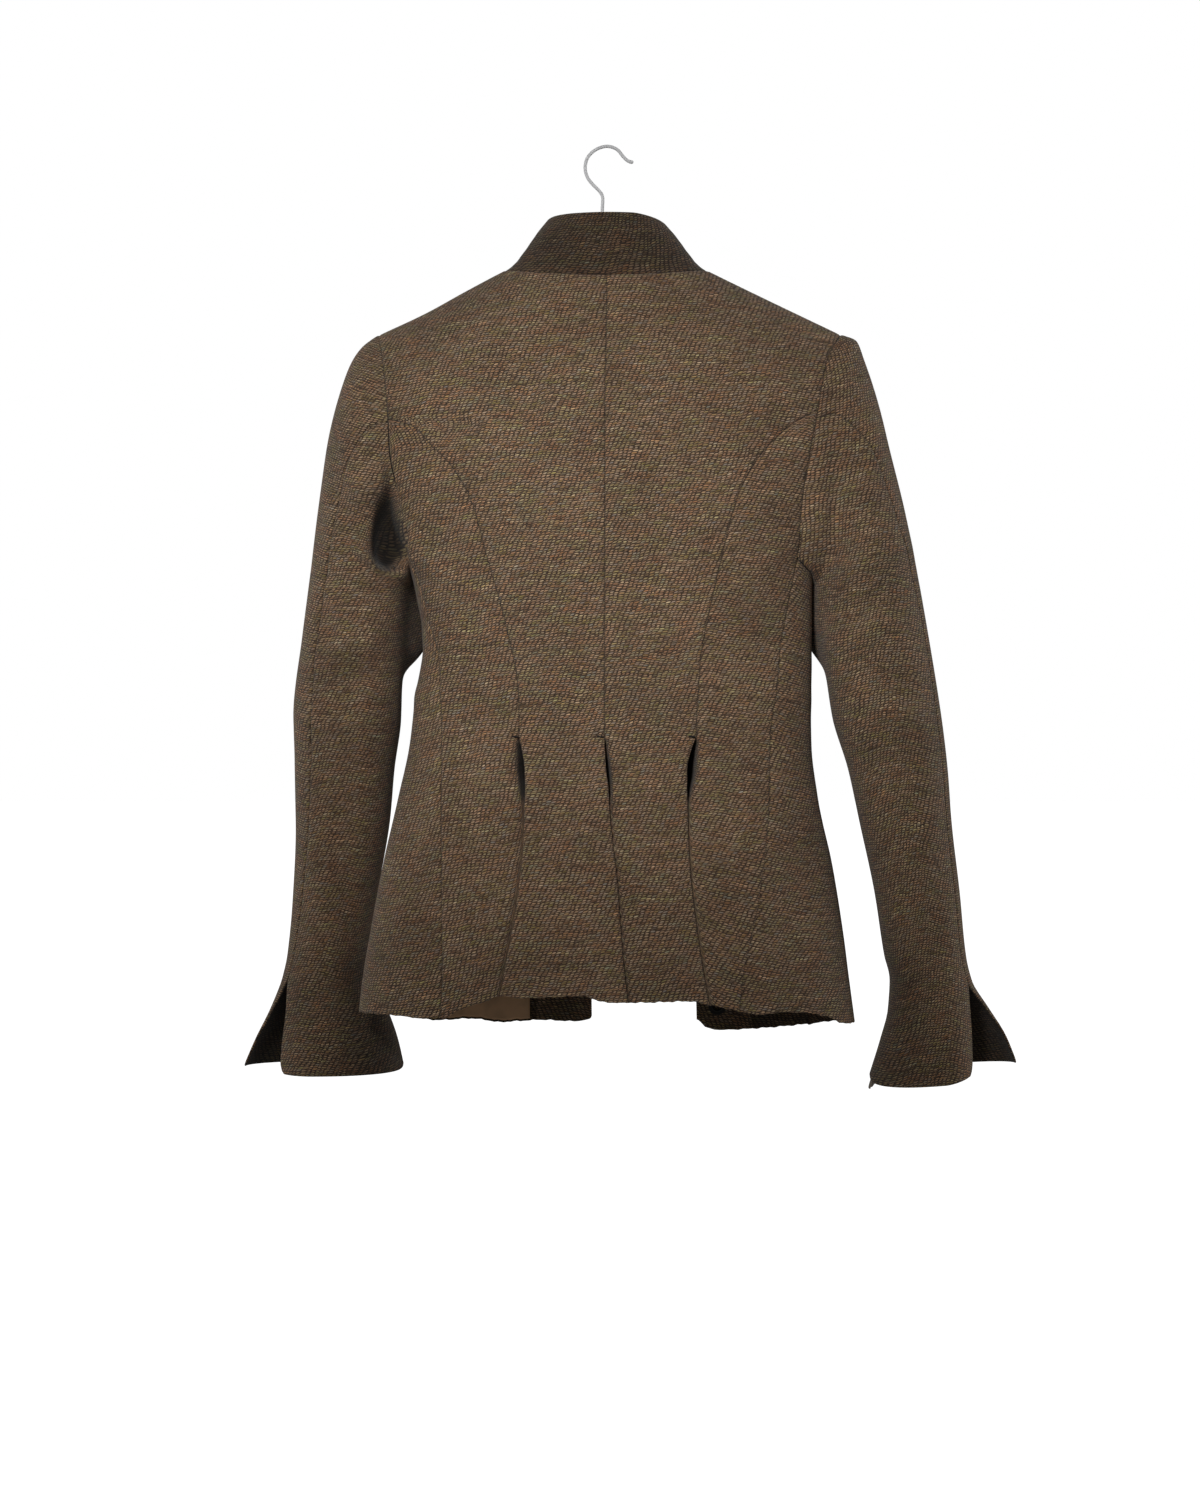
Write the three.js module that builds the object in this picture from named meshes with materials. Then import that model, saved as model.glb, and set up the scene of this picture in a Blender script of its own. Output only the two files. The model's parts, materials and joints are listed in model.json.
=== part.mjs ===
// A fitted tweed jacket with a stand collar, hanging on a wire-hooked hanger.
// Millimetres, +Z up. The origin is the inner crown of the hook, where a rail carries it.
// The jacket's back faces +Y, its front -Y, and the wearer's left is +X.
import * as THREE from "three";

// ---------- driving sizes ----------
const CLOTH = 2.0; // tweed wall
const LINING = 1.0; // lining wall
const SEAM = 0.3; // room between two pieces at a seam
const HALF_SEAM = SEAM / 2;
const ROUND = 2.5; // exponent of the body's cross-section
const SHOULDER_ROLL = 72; // depth below the shoulder line at which the body is full
const PRINCESS_TOP_L = -233; // where the back princess seams leave the armholes
const PRINCESS_TOP_R = -225;
const SIDE_BACK_Z = -349; // where the side-back seams leave the armholes
const UNDERARM_Z = -360; // lowest point of the armholes
const PLEAT_Z = -498; // top of the three pleats
const FOLD_R = 2.3; // outer radius of a pleat's fold
const FACING_W = 48; // front facing
const STUD_R = 8; // press-stud ring
const STUD_HOLE_R = 3.4;
const STUD_T = 2.2;
const WIRE_D = 2.8; // hook wire
const BAR_HALF_T = 5; // hanger bar
const BAR_H = 22;

// ---------- tables (a row for each level, +Z up) ----------
// Half outlines of the body and its depths behind and in front of the shoulder plane.
const BODY = [
  { z: -60, left: 232, right: -236, back: 34, front: 44 },
  { z: -110, left: 232, right: -236, back: 42, front: 52 },
  { z: -158, left: 228, right: -232, back: 56, front: 62 },
  { z: -200, left: 222, right: -224, back: 66, front: 72 },
  { z: -250, left: 212, right: -212, back: 71, front: 78 },
  { z: -300, left: 195, right: -195, back: 71, front: 80 },
  { z: -335, left: 178, right: -183, back: 69, front: 79 },
  { z: -360, left: 164.5, right: -174.5, back: 67, front: 77 },
  { z: -382, left: 159.7, right: -174, back: 65, front: 75 },
  { z: -405, left: 155.8, right: -174, back: 62, front: 72 },
  { z: -430, left: 156.5, right: -174, back: 60, front: 69 },
  { z: -472, left: 162, right: -173, back: 59, front: 66 },
  { z: -505, left: 166, right: -173.5, back: 62, front: 66 },
  { z: -546, left: 175, right: -178.5, back: 69, front: 67 },
  { z: -602, left: 187.6, right: -190.5, back: 78, front: 69 },
  { z: -667, left: 199.8, right: -200.8, back: 86, front: 71 },
  { z: -700, left: 205.3, right: -205, back: 89, front: 72 },
  { z: -760, left: 212, right: -213, back: 93, front: 73 },
];
// Shoulder line and the neck seam that ends it.
const SHOULDER = [
  { x: -198.6, z: -157.5 },
  { x: -150.4, z: -134.6 },
  { x: -111.5, z: -115.8 },
  { x: -86, z: -103.3 },
  { x: 0, z: -62 },
  { x: 86, z: -103.3 },
  { x: 119, z: -120.8 },
  { x: 152, z: -139 },
  { x: 192.7, z: -158 },
];
const NECK_X = 86;
const NECK_BACK = [
  { x: -86, z: -103.3 },
  { x: -45, z: -108.7 },
  { x: 0, z: -111 },
  { x: 55, z: -108 },
  { x: 86, z: -103.3 },
];
const NECK_FRONT = [
  { x: -86, z: -103.3 },
  { x: -84, z: -118 },
  { x: -78, z: -137 },
  { x: -68, z: -153 },
  { x: -55, z: -166 },
  { x: -47, z: -172 },
  { x: 0, z: -182 },
  { x: 26, z: -180 },
  { x: 40, z: -176 },
  { x: 55, z: -167 },
  { x: 68, z: -154 },
  { x: 78, z: -137 },
  { x: 84, z: -118 },
  { x: 86, z: -103.3 },
];
// Armhole seam over the back and over the front.
const ARMHOLE = [
  { z: -158, backL: 192.7, backR: -198.6, frontL: 192.7, frontR: -198.6 },
  { z: -180, backL: 188, backR: -186, frontL: 183, frontR: -184 },
  { z: -206, backL: 184.5, backR: -180.5, frontL: 172, frontR: -171 },
  { z: -233, backL: 182.3, backR: -175.5, frontL: 164, frontR: -162 },
  { z: -260, backL: 181, backR: -170.5, frontL: 160, frontR: -158 },
  { z: -285, backL: 176.5, backR: -166, frontL: 158.5, frontR: -157 },
  { z: -312, backL: 171, backR: -163, frontL: 158, frontR: -158 },
  { z: -330, backL: 165.5, backR: -160.5, frontL: 157.5, frontR: -160 },
  { z: -349, backL: 164, backR: -160.5, frontL: 157, frontR: -163 },
];
// Seams of the back, by height.
const CENTRE_BACK = [
  { z: -60, x: -0.8 },
  { z: -114, x: -0.8 },
  { z: -219, x: 0.9 },
  { z: -498, x: 1.3 },
];
const PRINCESS_L = [
  { z: -233, x: 182.3 },
  { z: -239, x: 161 },
  { z: -254, x: 147.2 },
  { z: -272, x: 129.5 },
  { z: -300, x: 112.9 },
  { z: -350, x: 98.6 },
  { z: -393, x: 86.4 },
  { z: -421, x: 79.8 },
  { z: -450, x: 74 },
  { z: -470, x: 72.6 },
  { z: -498, x: 72.3 },
];
const PRINCESS_R = [
  { z: -225, x: -177.4 },
  { z: -238, x: -154.5 },
  { z: -264, x: -128.5 },
  { z: -285, x: -115.2 },
  { z: -306, x: -106.9 },
  { z: -339, x: -98.6 },
  { z: -401, x: -84.5 },
  { z: -429, x: -79.6 },
  { z: -467, x: -76.3 },
  { z: -498, x: -75 },
];
const SIDE_BACK = [
  { z: -349, left: 164, right: -160.5 },
  { z: -372, left: 156.6, right: -156 },
  { z: -396, left: 150.4, right: -151 },
  { z: -457, left: 138.6, right: -142.5 },
  { z: -492, left: 137.8, right: -138 },
  { z: -567, left: 137.6, right: -134 },
  { z: -600, left: 137.2, right: -130.6 },
  { z: -646, left: 137, right: -123.6 },
  { z: -683, left: 137, right: -115.2 },
  { z: -722, left: 137.4, right: -110.4 },
  { z: -760, left: 138, right: -107 },
];
// Side-front seam and front edges.
const SIDE_FRONT = [
  { z: -349, left: 157, right: -163 },
  { z: -380, left: 146, right: -157 },
  { z: -430, left: 136, right: -150 },
  { z: -500, left: 138, right: -149 },
  { z: -600, left: 152, right: -160 },
  { z: -760, left: 168, right: -176 },
];
const FRONT_EDGE = [
  { z: -60, left: 27, right: -46 },
  { z: -180, left: 26, right: -48 },
  { z: -350, left: 20, right: -62 },
  { z: -500, left: 15, right: -72 },
  { z: -760, left: 12, right: -79 },
];
// Fold of each pleat: where its top edge folds under, how wide its slit stands open, how deep the
// next panel dives under it, and how far that panel runs beneath.
const PLEATS = {
  left: [
    { z: -498, fold: 72.3, slit: 0.6, dive: 5.4, under: 2 },
    { z: -508, fold: 70.2, slit: 2.2, dive: 7.5, under: 7 },
    { z: -524, fold: 67.8, slit: 4.2, dive: 9.5, under: 11 },
    { z: -540, fold: 67.4, slit: 2.6, dive: 7.5, under: 13 },
    { z: -556, fold: 67.9, slit: 0.3, dive: 5.2, under: 15 },
    { z: -586, fold: 68.6, slit: 0, dive: 5.2, under: 16 },
    { z: -612, fold: 71, slit: 0, dive: 5.2, under: 17 },
    { z: -646, fold: 75.9, slit: 0, dive: 5.2, under: 18 },
    { z: -680, fold: 82, slit: 0, dive: 5.2, under: 18 },
    { z: -760, fold: 97, slit: 0, dive: 5.2, under: 18 },
  ],
  centre: [
    { z: -498, fold: 1.3, slit: 0.6, dive: 5.4, under: 2 },
    { z: -508, fold: 1.0, slit: 1.2, dive: 6, under: 7 },
    { z: -524, fold: 0, slit: 1.9, dive: 7, under: 11 },
    { z: -540, fold: -2, slit: 1.2, dive: 6, under: 13 },
    { z: -556, fold: -2.9, slit: 0.2, dive: 5.2, under: 15 },
    { z: -586, fold: -5.6, slit: 0, dive: 5.2, under: 16 },
    { z: -612, fold: -8.8, slit: 0, dive: 5.2, under: 17 },
    { z: -646, fold: -11.4, slit: 0, dive: 5.2, under: 18 },
    { z: -680, fold: -14, slit: 0, dive: 5.2, under: 18 },
    { z: -760, fold: -24, slit: 0, dive: 5.2, under: 18 },
  ],
  right: [
    { z: -498, fold: -75, slit: 0.6, dive: 5.4, under: 2 },
    { z: -508, fold: -71, slit: 2.6, dive: 7.5, under: 7 },
    { z: -524, fold: -67.4, slit: 5.4, dive: 9.5, under: 11 },
    { z: -540, fold: -67.2, slit: 2.8, dive: 7.5, under: 13 },
    { z: -556, fold: -67.6, slit: 0.3, dive: 5.2, under: 15 },
    { z: -586, fold: -68.3, slit: 0, dive: 5.2, under: 16 },
    { z: -612, fold: -70, slit: 0, dive: 5.2, under: 17 },
    { z: -646, fold: -73.8, slit: 0, dive: 5.2, under: 18 },
    { z: -680, fold: -78.6, slit: 0, dive: 5.2, under: 18 },
    { z: -760, fold: -93, slit: 0, dive: 5.2, under: 18 },
  ],
};
// Hem heights across the back, the sides and the fronts.
const HEM_BACK = [
  { x: -215, z: -738 },
  { x: -198, z: -737 },
  { x: -188, z: -732 },
  { x: -173, z: -727.5 },
  { x: -152, z: -725.5 },
  { x: -124, z: -727 },
  { x: -99, z: -721.5 },
  { x: -82, z: -718 },
  { x: -69, z: -715.5 },
  { x: -28, z: -716.5 },
  { x: -2, z: -716.5 },
  { x: 21, z: -711.2 },
  { x: 72, z: -713 },
  { x: 87, z: -711 },
  { x: 96, z: -714.6 },
  { x: 120, z: -722.5 },
  { x: 137, z: -730.3 },
  { x: 157, z: -730.5 },
  { x: 176, z: -728.8 },
  { x: 215, z: -728.5 },
];
const HEM_FRONT = [
  { x: -215, z: -738 },
  { x: -196, z: -739.4 },
  { x: -172, z: -743.7 },
  { x: -130, z: -748.3 },
  { x: -99, z: -750 },
  { x: -88, z: -749 },
  { x: -84, z: -745.5 },
  { x: -78, z: -741 },
  { x: 12, z: -742 },
  { x: 143, z: -740.8 },
  { x: 180, z: -735 },
  { x: 215, z: -728.5 },
];
// Collar: base is the neck seam, top is given round the neck by its share of the way.
const COLLAR = [
  { way: 0, x: 21, y: -60, z: -122, swell: 0 },
  { way: 0.12, x: 40, y: -40, z: -100, swell: 1 },
  { way: 0.22, x: 49.5, y: -16, z: -76, swell: 2 },
  { way: 0.29, x: 49.5, y: 2, z: -64, swell: 2 },
  { way: 0.35, x: 43, y: 18, z: -59.6, swell: 2 },
  { way: 0.42, x: 25, y: 31, z: -58.8, swell: 1 },
  { way: 0.5, x: 1, y: 36, z: -58.6, swell: 0 },
  { way: 0.58, x: -21, y: 32, z: -58.4, swell: 1 },
  { way: 0.65, x: -41, y: 20, z: -61.5, swell: 2 },
  { way: 0.71, x: -51, y: 4, z: -66.5, swell: 2 },
  { way: 0.78, x: -54, y: -15, z: -77, swell: 2 },
  { way: 0.88, x: -49, y: -39, z: -100, swell: 1 },
  { way: 1, x: -41, y: -60, z: -122, swell: 0 },
];
// Sleeves: outer and inner edges of each section, its place and half depth fore and aft, and the
// seam's place on it (0 at the outer edge, 90 at the back, 180 at the inner edge).
const SLEEVE_L = [
  { s: 0, ox: 193, oz: -158, ix: 165.2, iz: -360, y: 0, half: 50, seam: 76 },
  { s: 0.03, ox: 206, oz: -168, ix: 165.9, iz: -363, y: 0, half: 50, seam: 73 },
  { s: 0.06, ox: 215, oz: -181, ix: 166.6, iz: -366, y: 0, half: 50, seam: 70 },
  { s: 0.11, ox: 224.5, oz: -207, ix: 167.6, iz: -371, y: -1, half: 50, seam: 66 },
  { s: 0.19, ox: 235, oz: -248, ix: 168.9, iz: -377, y: -3, half: 50, seam: 60 },
  { s: 0.28, ox: 243.7, oz: -307, ix: 170, iz: -385, y: -6, half: 49.5, seam: 55 },
  { s: 0.37, ox: 250.5, oz: -360, ix: 171.4, iz: -400, y: -10, half: 49, seam: 52 },
  { s: 0.46, ox: 258, oz: -414, ix: 172.8, iz: -430, y: -17, half: 48.5, seam: 50 },
  { s: 0.56, ox: 266.2, oz: -480, ix: 174.6, iz: -482, y: -29, half: 48, seam: 53 },
  { s: 0.63, ox: 266, oz: -525, ix: 180.8, iz: -525, y: -40, half: 47, seam: 52 },
  { s: 0.7, ox: 265.8, oz: -569, ix: 185.2, iz: -569, y: -50, half: 46, seam: 50 },
  { s: 0.8, ox: 269, oz: -630, ix: 196, iz: -630, y: -62, half: 44, seam: 45 },
  { s: 0.9, ox: 274.6, oz: -684, ix: 203.4, iz: -684, y: -71, half: 43, seam: 38 },
  { s: 0.935, ox: 279.3, oz: -705, ix: 202.3, iz: -705, y: -74, half: 43, seam: 34 },
  { s: 0.96, ox: 290, oz: -732, ix: 188, iz: -735, y: -77, half: 45, seam: 34 },
  { s: 0.98, ox: 303, oz: -758, ix: 180, iz: -758, y: -79, half: 48, seam: 33 },
  { s: 1, ox: 313.5, oz: -782, ix: 174.8, iz: -781, y: -81, half: 50, seam: 32 },
];
const SLEEVE_R = [
  { s: 0, ox: 199, oz: -158, ix: 175.2, iz: -360, y: 0, half: 50, seam: 74 },
  { s: 0.03, ox: 211.5, oz: -163, ix: 175.9, iz: -363, y: 0, half: 50, seam: 70 },
  { s: 0.06, ox: 218.5, oz: -180, ix: 176.6, iz: -366, y: 0, half: 50, seam: 66 },
  { s: 0.11, ox: 227.5, oz: -208, ix: 177.4, iz: -369, y: 0, half: 50, seam: 60 },
  { s: 0.19, ox: 238, oz: -250, ix: 178, iz: -373, y: 1, half: 50, seam: 50 },
  { s: 0.28, ox: 252, oz: -307, ix: 178.5, iz: -381, y: 3, half: 50, seam: 40 },
  { s: 0.37, ox: 262.6, oz: -360, ix: 179.2, iz: -399, y: 4, half: 49.5, seam: 31 },
  { s: 0.46, ox: 272, oz: -413, ix: 183.4, iz: -426, y: 4, half: 49, seam: 26 },
  { s: 0.56, ox: 283, oz: -480, ix: 191, iz: -480, y: 1, half: 48, seam: 28 },
  { s: 0.63, ox: 289, oz: -525, ix: 205, iz: -525, y: -6, half: 47, seam: 30 },
  { s: 0.7, ox: 292.8, oz: -569, ix: 214.9, iz: -569, y: -12, half: 46, seam: 32 },
  { s: 0.8, ox: 300.8, oz: -630, ix: 228.6, iz: -630, y: -23, half: 44, seam: 33 },
  { s: 0.9, ox: 307, oz: -684, ix: 237.6, iz: -684, y: -32, half: 43, seam: 33 },
  { s: 0.935, ox: 312.5, oz: -706, ix: 242.3, iz: -706, y: -34, half: 43, seam: 32 },
  { s: 0.96, ox: 327, oz: -729, ix: 240.8, iz: -731, y: -36, half: 45, seam: 32 },
  { s: 0.98, ox: 341, oz: -751, ix: 234.5, iz: -756, y: -38, half: 48, seam: 32 },
  { s: 1, ox: 351.5, oz: -776, ix: 224.9, iz: -787, y: -39, half: 50, seam: 32 },
];
// Cuff vent: the under sleeve keeps to its own outer edge, while the upper sleeve's edge swings out.
const VENT = [
  { s: 0.935, underL: 279.3, underR: 312.5, upperL: 34, upperR: 32, dropL: 0, dropR: 0 },
  { s: 0.96, underL: 282, underR: 313.5, upperL: 18, upperR: 18, dropL: 2, dropR: 3 },
  { s: 0.98, underL: 284.5, underR: 314.5, upperL: 9, upperR: 9, dropL: 4, dropR: 7 },
  { s: 1, underL: 286, underR: 315, upperL: 4, upperR: 4, dropL: 6, dropR: 10 },
];
const INNER_SEAM = 212; // sleeve seam on the side away from the back
const VENT_S = 0.935;
// Hook wire, from its tip over the crown and down into the bar.
const HOOK = [
  { x: -23.2, z: -12.3 },
  { x: -18.6, z: -11 },
  { x: -14.8, z: -7.6 },
  { x: -9.3, z: -1.3 },
  { x: -1.2, z: 1.4 },
  { x: 8, z: -1.1 },
  { x: 15.4, z: -8 },
  { x: 17.6, z: -17 },
  { x: 15.6, z: -25 },
  { x: 11.4, z: -30.6 },
  { x: 5, z: -37.2 },
  { x: 3, z: -41 },
  { x: 3.1, z: -52.8 },
  { x: 3.1, z: -79.6 },
];
// Upper edge of the hanger bar, from its middle out.
const BAR = [
  { x: 3, z: -80 },
  { x: 30, z: -90 },
  { x: 55, z: -101 },
  { x: 70, z: -108 },
  { x: 80, z: -110 },
  { x: 92, z: -111.5 },
  { x: 120, z: -124.3 },
  { x: 152, z: -142 },
  { x: 180, z: -155.4 },
];
// Largest folds of the sleeves: a soft ridge (+) or trough (-) along a line on the back face.
const FOLDS_L = [
  { x: 192, z: -312, dx: -7, dz: -30, width: 10, rise: -7 },
  { x: 190, z: -283, dx: -14, dz: 10, width: 10, rise: 3 },
  { x: 196, z: -352, dx: 38, dz: 16, width: 9, rise: 3.5 },
  { x: 215, z: -470, dx: 30, dz: 4, width: 12, rise: -2 },
];
const FOLDS_R = [
  { x: 200, z: -330, dx: -12, dz: -42, width: 11, rise: -3 },
  { x: 226, z: -372, dx: 30, dz: 14, width: 11, rise: 2 },
  { x: 240, z: -492, dx: 30, dz: -6, width: 12, rise: -2 },
];

// ---------- working functions ----------
const clamp = (v, lo, hi) => Math.min(hi, Math.max(lo, v));
const mix = (a, b, f) => a + (b - a) * f;
const smooth = (f) => f * f * (3 - 2 * f);

// Value of a column at a place along a table, by a smooth curve through its rows.
function along(table, key, column, at) {
  const rising = table[table.length - 1][key] > table[0][key];
  const rows = rising ? table : [...table].reverse();
  if (at <= rows[0][key]) return rows[0][column];
  if (at >= rows[rows.length - 1][key]) return rows[rows.length - 1][column];
  let i = 0;
  while (rows[i + 1][key] < at) i += 1;
  const gap = (k) => rows[k + 1][key] - rows[k][key];
  const slope = (k) => (rows[k + 1][column] - rows[k][column]) / gap(k);
  const tangent = (k) => {
    if (k === 0) return slope(0);
    if (k === rows.length - 1) return slope(k - 1);
    const before = slope(k - 1);
    const after = slope(k);
    if (before * after <= 0) return 0;
    return (2 * before * after) / (before + after);
  };
  const h = gap(i);
  const f = (at - rows[i][key]) / h;
  const a = rows[i][column];
  const b = rows[i + 1][column];
  const ta = tangent(i) * h;
  const tb = tangent(i + 1) * h;
  const f2 = f * f;
  const f3 = f2 * f;
  return a * (2 * f3 - 3 * f2 + 1) + ta * (f3 - 2 * f2 + f) + b * (3 * f2 - 2 * f3) + tb * (f3 - f2);
}

const byZ = (table, column, z) => along(table, "z", column, z);
const shoulderZ = (x) => along(SHOULDER, "x", "z", x);

// How full the body is at a depth below the shoulder line.
function fullness(depth) {
  const f = Math.min(Math.abs(depth) / SHOULDER_ROLL, 1);
  return Math.sign(depth) * Math.sqrt(1 - (1 - f) * (1 - f));
}

// The body's outer face: at height z, angle 0 is the left side, 90 the back, 180 the right side.
function skin(angle, z) {
  const left = byZ(BODY, "left", z);
  const right = byZ(BODY, "right", z);
  const c = Math.cos(angle);
  const s = Math.sin(angle);
  const x = (left + right) / 2 + ((left - right) / 2) * Math.sign(c) * Math.abs(c) ** (2 / ROUND);
  const depth = s > 0 ? byZ(BODY, "back", z) : -byZ(BODY, "front", z);
  const y = depth * Math.abs(s) ** (2 / ROUND) * fullness(shoulderZ(x) - z);
  return new THREE.Vector3(x, y, z);
}

// Angle of the skin at a given x, behind (side 1) or in front (side -1).
function angleAt(x, z, side) {
  const left = byZ(BODY, "left", z);
  const right = byZ(BODY, "right", z);
  const u = clamp((x - (left + right) / 2) / ((left - right) / 2), -1, 1);
  return side * Math.acos(Math.sign(u) * Math.abs(u) ** (ROUND / 2));
}

const STEP_ANGLE = 0.004;
const STEP_Z = 0.4;
const UPWARD = 0.3; // tilt of the direction that tells out from in
function skinNormal(angle, z) {
  const du = skin(angle + STEP_ANGLE, z).sub(skin(angle - STEP_ANGLE, z));
  const dv = skin(angle, z + STEP_Z).sub(skin(angle, z - STEP_Z));
  const n = du.cross(dv);
  const out = skin(angle, z).sub(skin(angle + Math.PI, z));
  out.z = UPWARD * out.length();
  return n.normalize().multiplyScalar(n.dot(out) < 0 ? -1 : 1);
}

// A closed wall from rows of outer and inner points; cells that are left out open the sheet.
function wall(outer, inner, wrap = false, has = () => true) {
  const rows = outer.length;
  const cols = outer[0].length;
  const cells = wrap ? cols : cols - 1;
  const points = [];
  const faces = [];
  const seen = new Map();
  const id = (layer, i, j) => {
    const key = (layer * rows + i) * cols + (j % cols);
    if (!seen.has(key)) {
      seen.set(key, points.length);
      points.push((layer ? inner : outer)[i][j % cols]);
    }
    return seen.get(key);
  };
  const present = (i, j) => {
    if (i < 0 || i >= rows - 1) return false;
    if (!wrap && (j < 0 || j >= cells)) return false;
    return has(i, (j + cells) % cells);
  };
  const quad = (a, b, c, d) => faces.push([a, b, c], [a, c, d]);
  for (let i = 0; i < rows - 1; i += 1)
    for (let j = 0; j < cells; j += 1) {
      if (!present(i, j)) continue;
      quad(id(0, i, j), id(0, i + 1, j), id(0, i + 1, j + 1), id(0, i, j + 1));
      quad(id(1, i, j), id(1, i, j + 1), id(1, i + 1, j + 1), id(1, i + 1, j));
      if (!present(i - 1, j)) quad(id(0, i, j), id(0, i, j + 1), id(1, i, j + 1), id(1, i, j));
      if (!present(i + 1, j))
        quad(id(0, i + 1, j), id(1, i + 1, j), id(1, i + 1, j + 1), id(0, i + 1, j + 1));
      if (!present(i, j - 1)) quad(id(0, i, j), id(1, i, j), id(1, i + 1, j), id(0, i + 1, j));
      if (!present(i, j + 1))
        quad(id(0, i, j + 1), id(0, i + 1, j + 1), id(1, i + 1, j + 1), id(1, i, j + 1));
    }
  return solidFrom(points, faces);
}

// An indexed solid, turned to face out.
function solidFrom(points, faces) {
  let volume = 0;
  const cross = new THREE.Vector3();
  faces.forEach(([a, b, c]) => {
    volume += points[a].dot(cross.crossVectors(points[b], points[c]));
  });
  const order = volume > 0 ? faces : faces.map(([a, b, c]) => [a, c, b]);
  const g = new THREE.BufferGeometry();
  g.setAttribute("position", new THREE.Float32BufferAttribute(points.flatMap((p) => p.toArray()), 3));
  g.setIndex(order.flat());
  g.computeVertexNormals();
  return g;
}

const group = new THREE.Group();
group.name = "tweed_jacket";
const TWEED = { color: 0x4d3f30, roughness: 0.95, metalness: 0 };
const TWEED_DARK = { color: 0x41352a, roughness: 0.95, metalness: 0 };
const LINING_CLOTH = { color: 0x7c6450, roughness: 0.6, metalness: 0 };
const TAB_CLOTH = { color: 0x76685a, roughness: 0.6, metalness: 0 };
const STUD = { color: 0x1e1b19, roughness: 0.6, metalness: 0 };
const STEEL = { color: 0xb9bcc0, roughness: 0.25, metalness: 1 };
const BAR_FINISH = { color: 0x1c1c1d, roughness: 0.5, metalness: 0 };

function add(name, geometry, look) {
  const mesh = new THREE.Mesh(geometry, new THREE.MeshStandardMaterial(look));
  mesh.name = name;
  group.add(mesh);
}

// ---------- body panels ----------
const EDGE_FINE = 0.004;
// Turns an x on the body into one that lies an arc length further on.
function insetX(x, z, side, way) {
  const a = angleAt(x, z, side);
  const reach = skin(a + EDGE_FINE, z).distanceTo(skin(a - EDGE_FINE, z)) / (2 * EDGE_FINE);
  return skin(a + (side * way * -HALF_SEAM) / reach, z).x;
}

const HEM_BLEND = 30; // depth each side of the shoulder plane over which the two hems meet
const hemAt = (x, y) => {
  const f = smooth(clamp((y + HEM_BLEND) / (2 * HEM_BLEND), 0, 1));
  return mix(along(HEM_FRONT, "x", "z", x), along(HEM_BACK, "x", "z", x), f);
};

// A point of the body's cloth at x, sunk below the outer face, behind (1) or in front (-1).
function placed(x, z, side, sunk) {
  const angle = angleAt(x, z, side);
  const p = skin(angle, z);
  if (Math.abs(p.y) < HALF_SEAM) p.y = side * HALF_SEAM;
  p.addScaledVector(skinNormal(angle, z), -sunk);
  p.y = side * Math.max(side * p.y, HALF_SEAM);
  return p;
}

const FOLD_TURNS = [0.3, 0.66, 1]; // share of the half turn at each station of a fold
const ROLL_REACH = 8; // how far from the pleat a panel starts to dive
const ROLL_POWER = 2.2;
// How far in from an edge its nearest columns stand, by the kind of edge.
const NEAR = {
  seam: [0],
  over: [0, 5],
  under: [0, 1.5, 3.4, 7.6],
  free: [0, 8, 28, FACING_W],
  freeRight: [0, 8, 28, 40, FACING_W],
};
const NEAR_SHARE = 0.6; // most of a panel's width that these columns take

// One edge of a back panel at a height: its main place, stations near it and, below the pleat's
// top, the stations beyond it. way is +1 for the edge on the left (+X), -1 for the other.
function edgeStations(edge, way, z) {
  const open = edge.pleat && z < PLEAT_Z - 1;
  const near = NEAR[edge.kind];
  const beyond = [];
  if (!edge.pleat) return { main: insetX(edge.seam(z), z, edge.side, -way), near, beyond, dive: 0 };
  const fold = open ? byZ(edge.pleat, "fold", z) : edge.seam(z);
  if (edge.kind === "over") {
    const centre = fold - way * FOLD_R;
    const end = byZ(edge.pleat, "under", z);
    FOLD_TURNS.forEach((turn) => {
      const t = turn * Math.PI;
      const at = (r) => ({ x: centre + way * r * Math.sin(t), sunk: FOLD_R - r * Math.cos(t) });
      beyond.push({ outer: at(FOLD_R), inner: at(FOLD_R - CLOTH) });
    });
    const x = centre - way * end;
    beyond.push({ outer: { x, sunk: 2 * FOLD_R }, inner: { x, sunk: 2 * FOLD_R - CLOTH } });
    return { main: open ? centre : insetX(fold, z, 1, -way), near, beyond, dive: 0 };
  }
  const dive = open ? byZ(edge.pleat, "dive", z) : 0;
  const main = open ? fold - way * byZ(edge.pleat, "slit", z) : insetX(fold, z, 1, -way);
  const end = fold + way * byZ(edge.pleat, "under", z);
  [mix(main, end, 0.4), end].forEach((x) => {
    beyond.push({ outer: { x, sunk: dive }, inner: { x, sunk: dive + CLOTH } });
  });
  return { main, near, beyond, dive };
}

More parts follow.
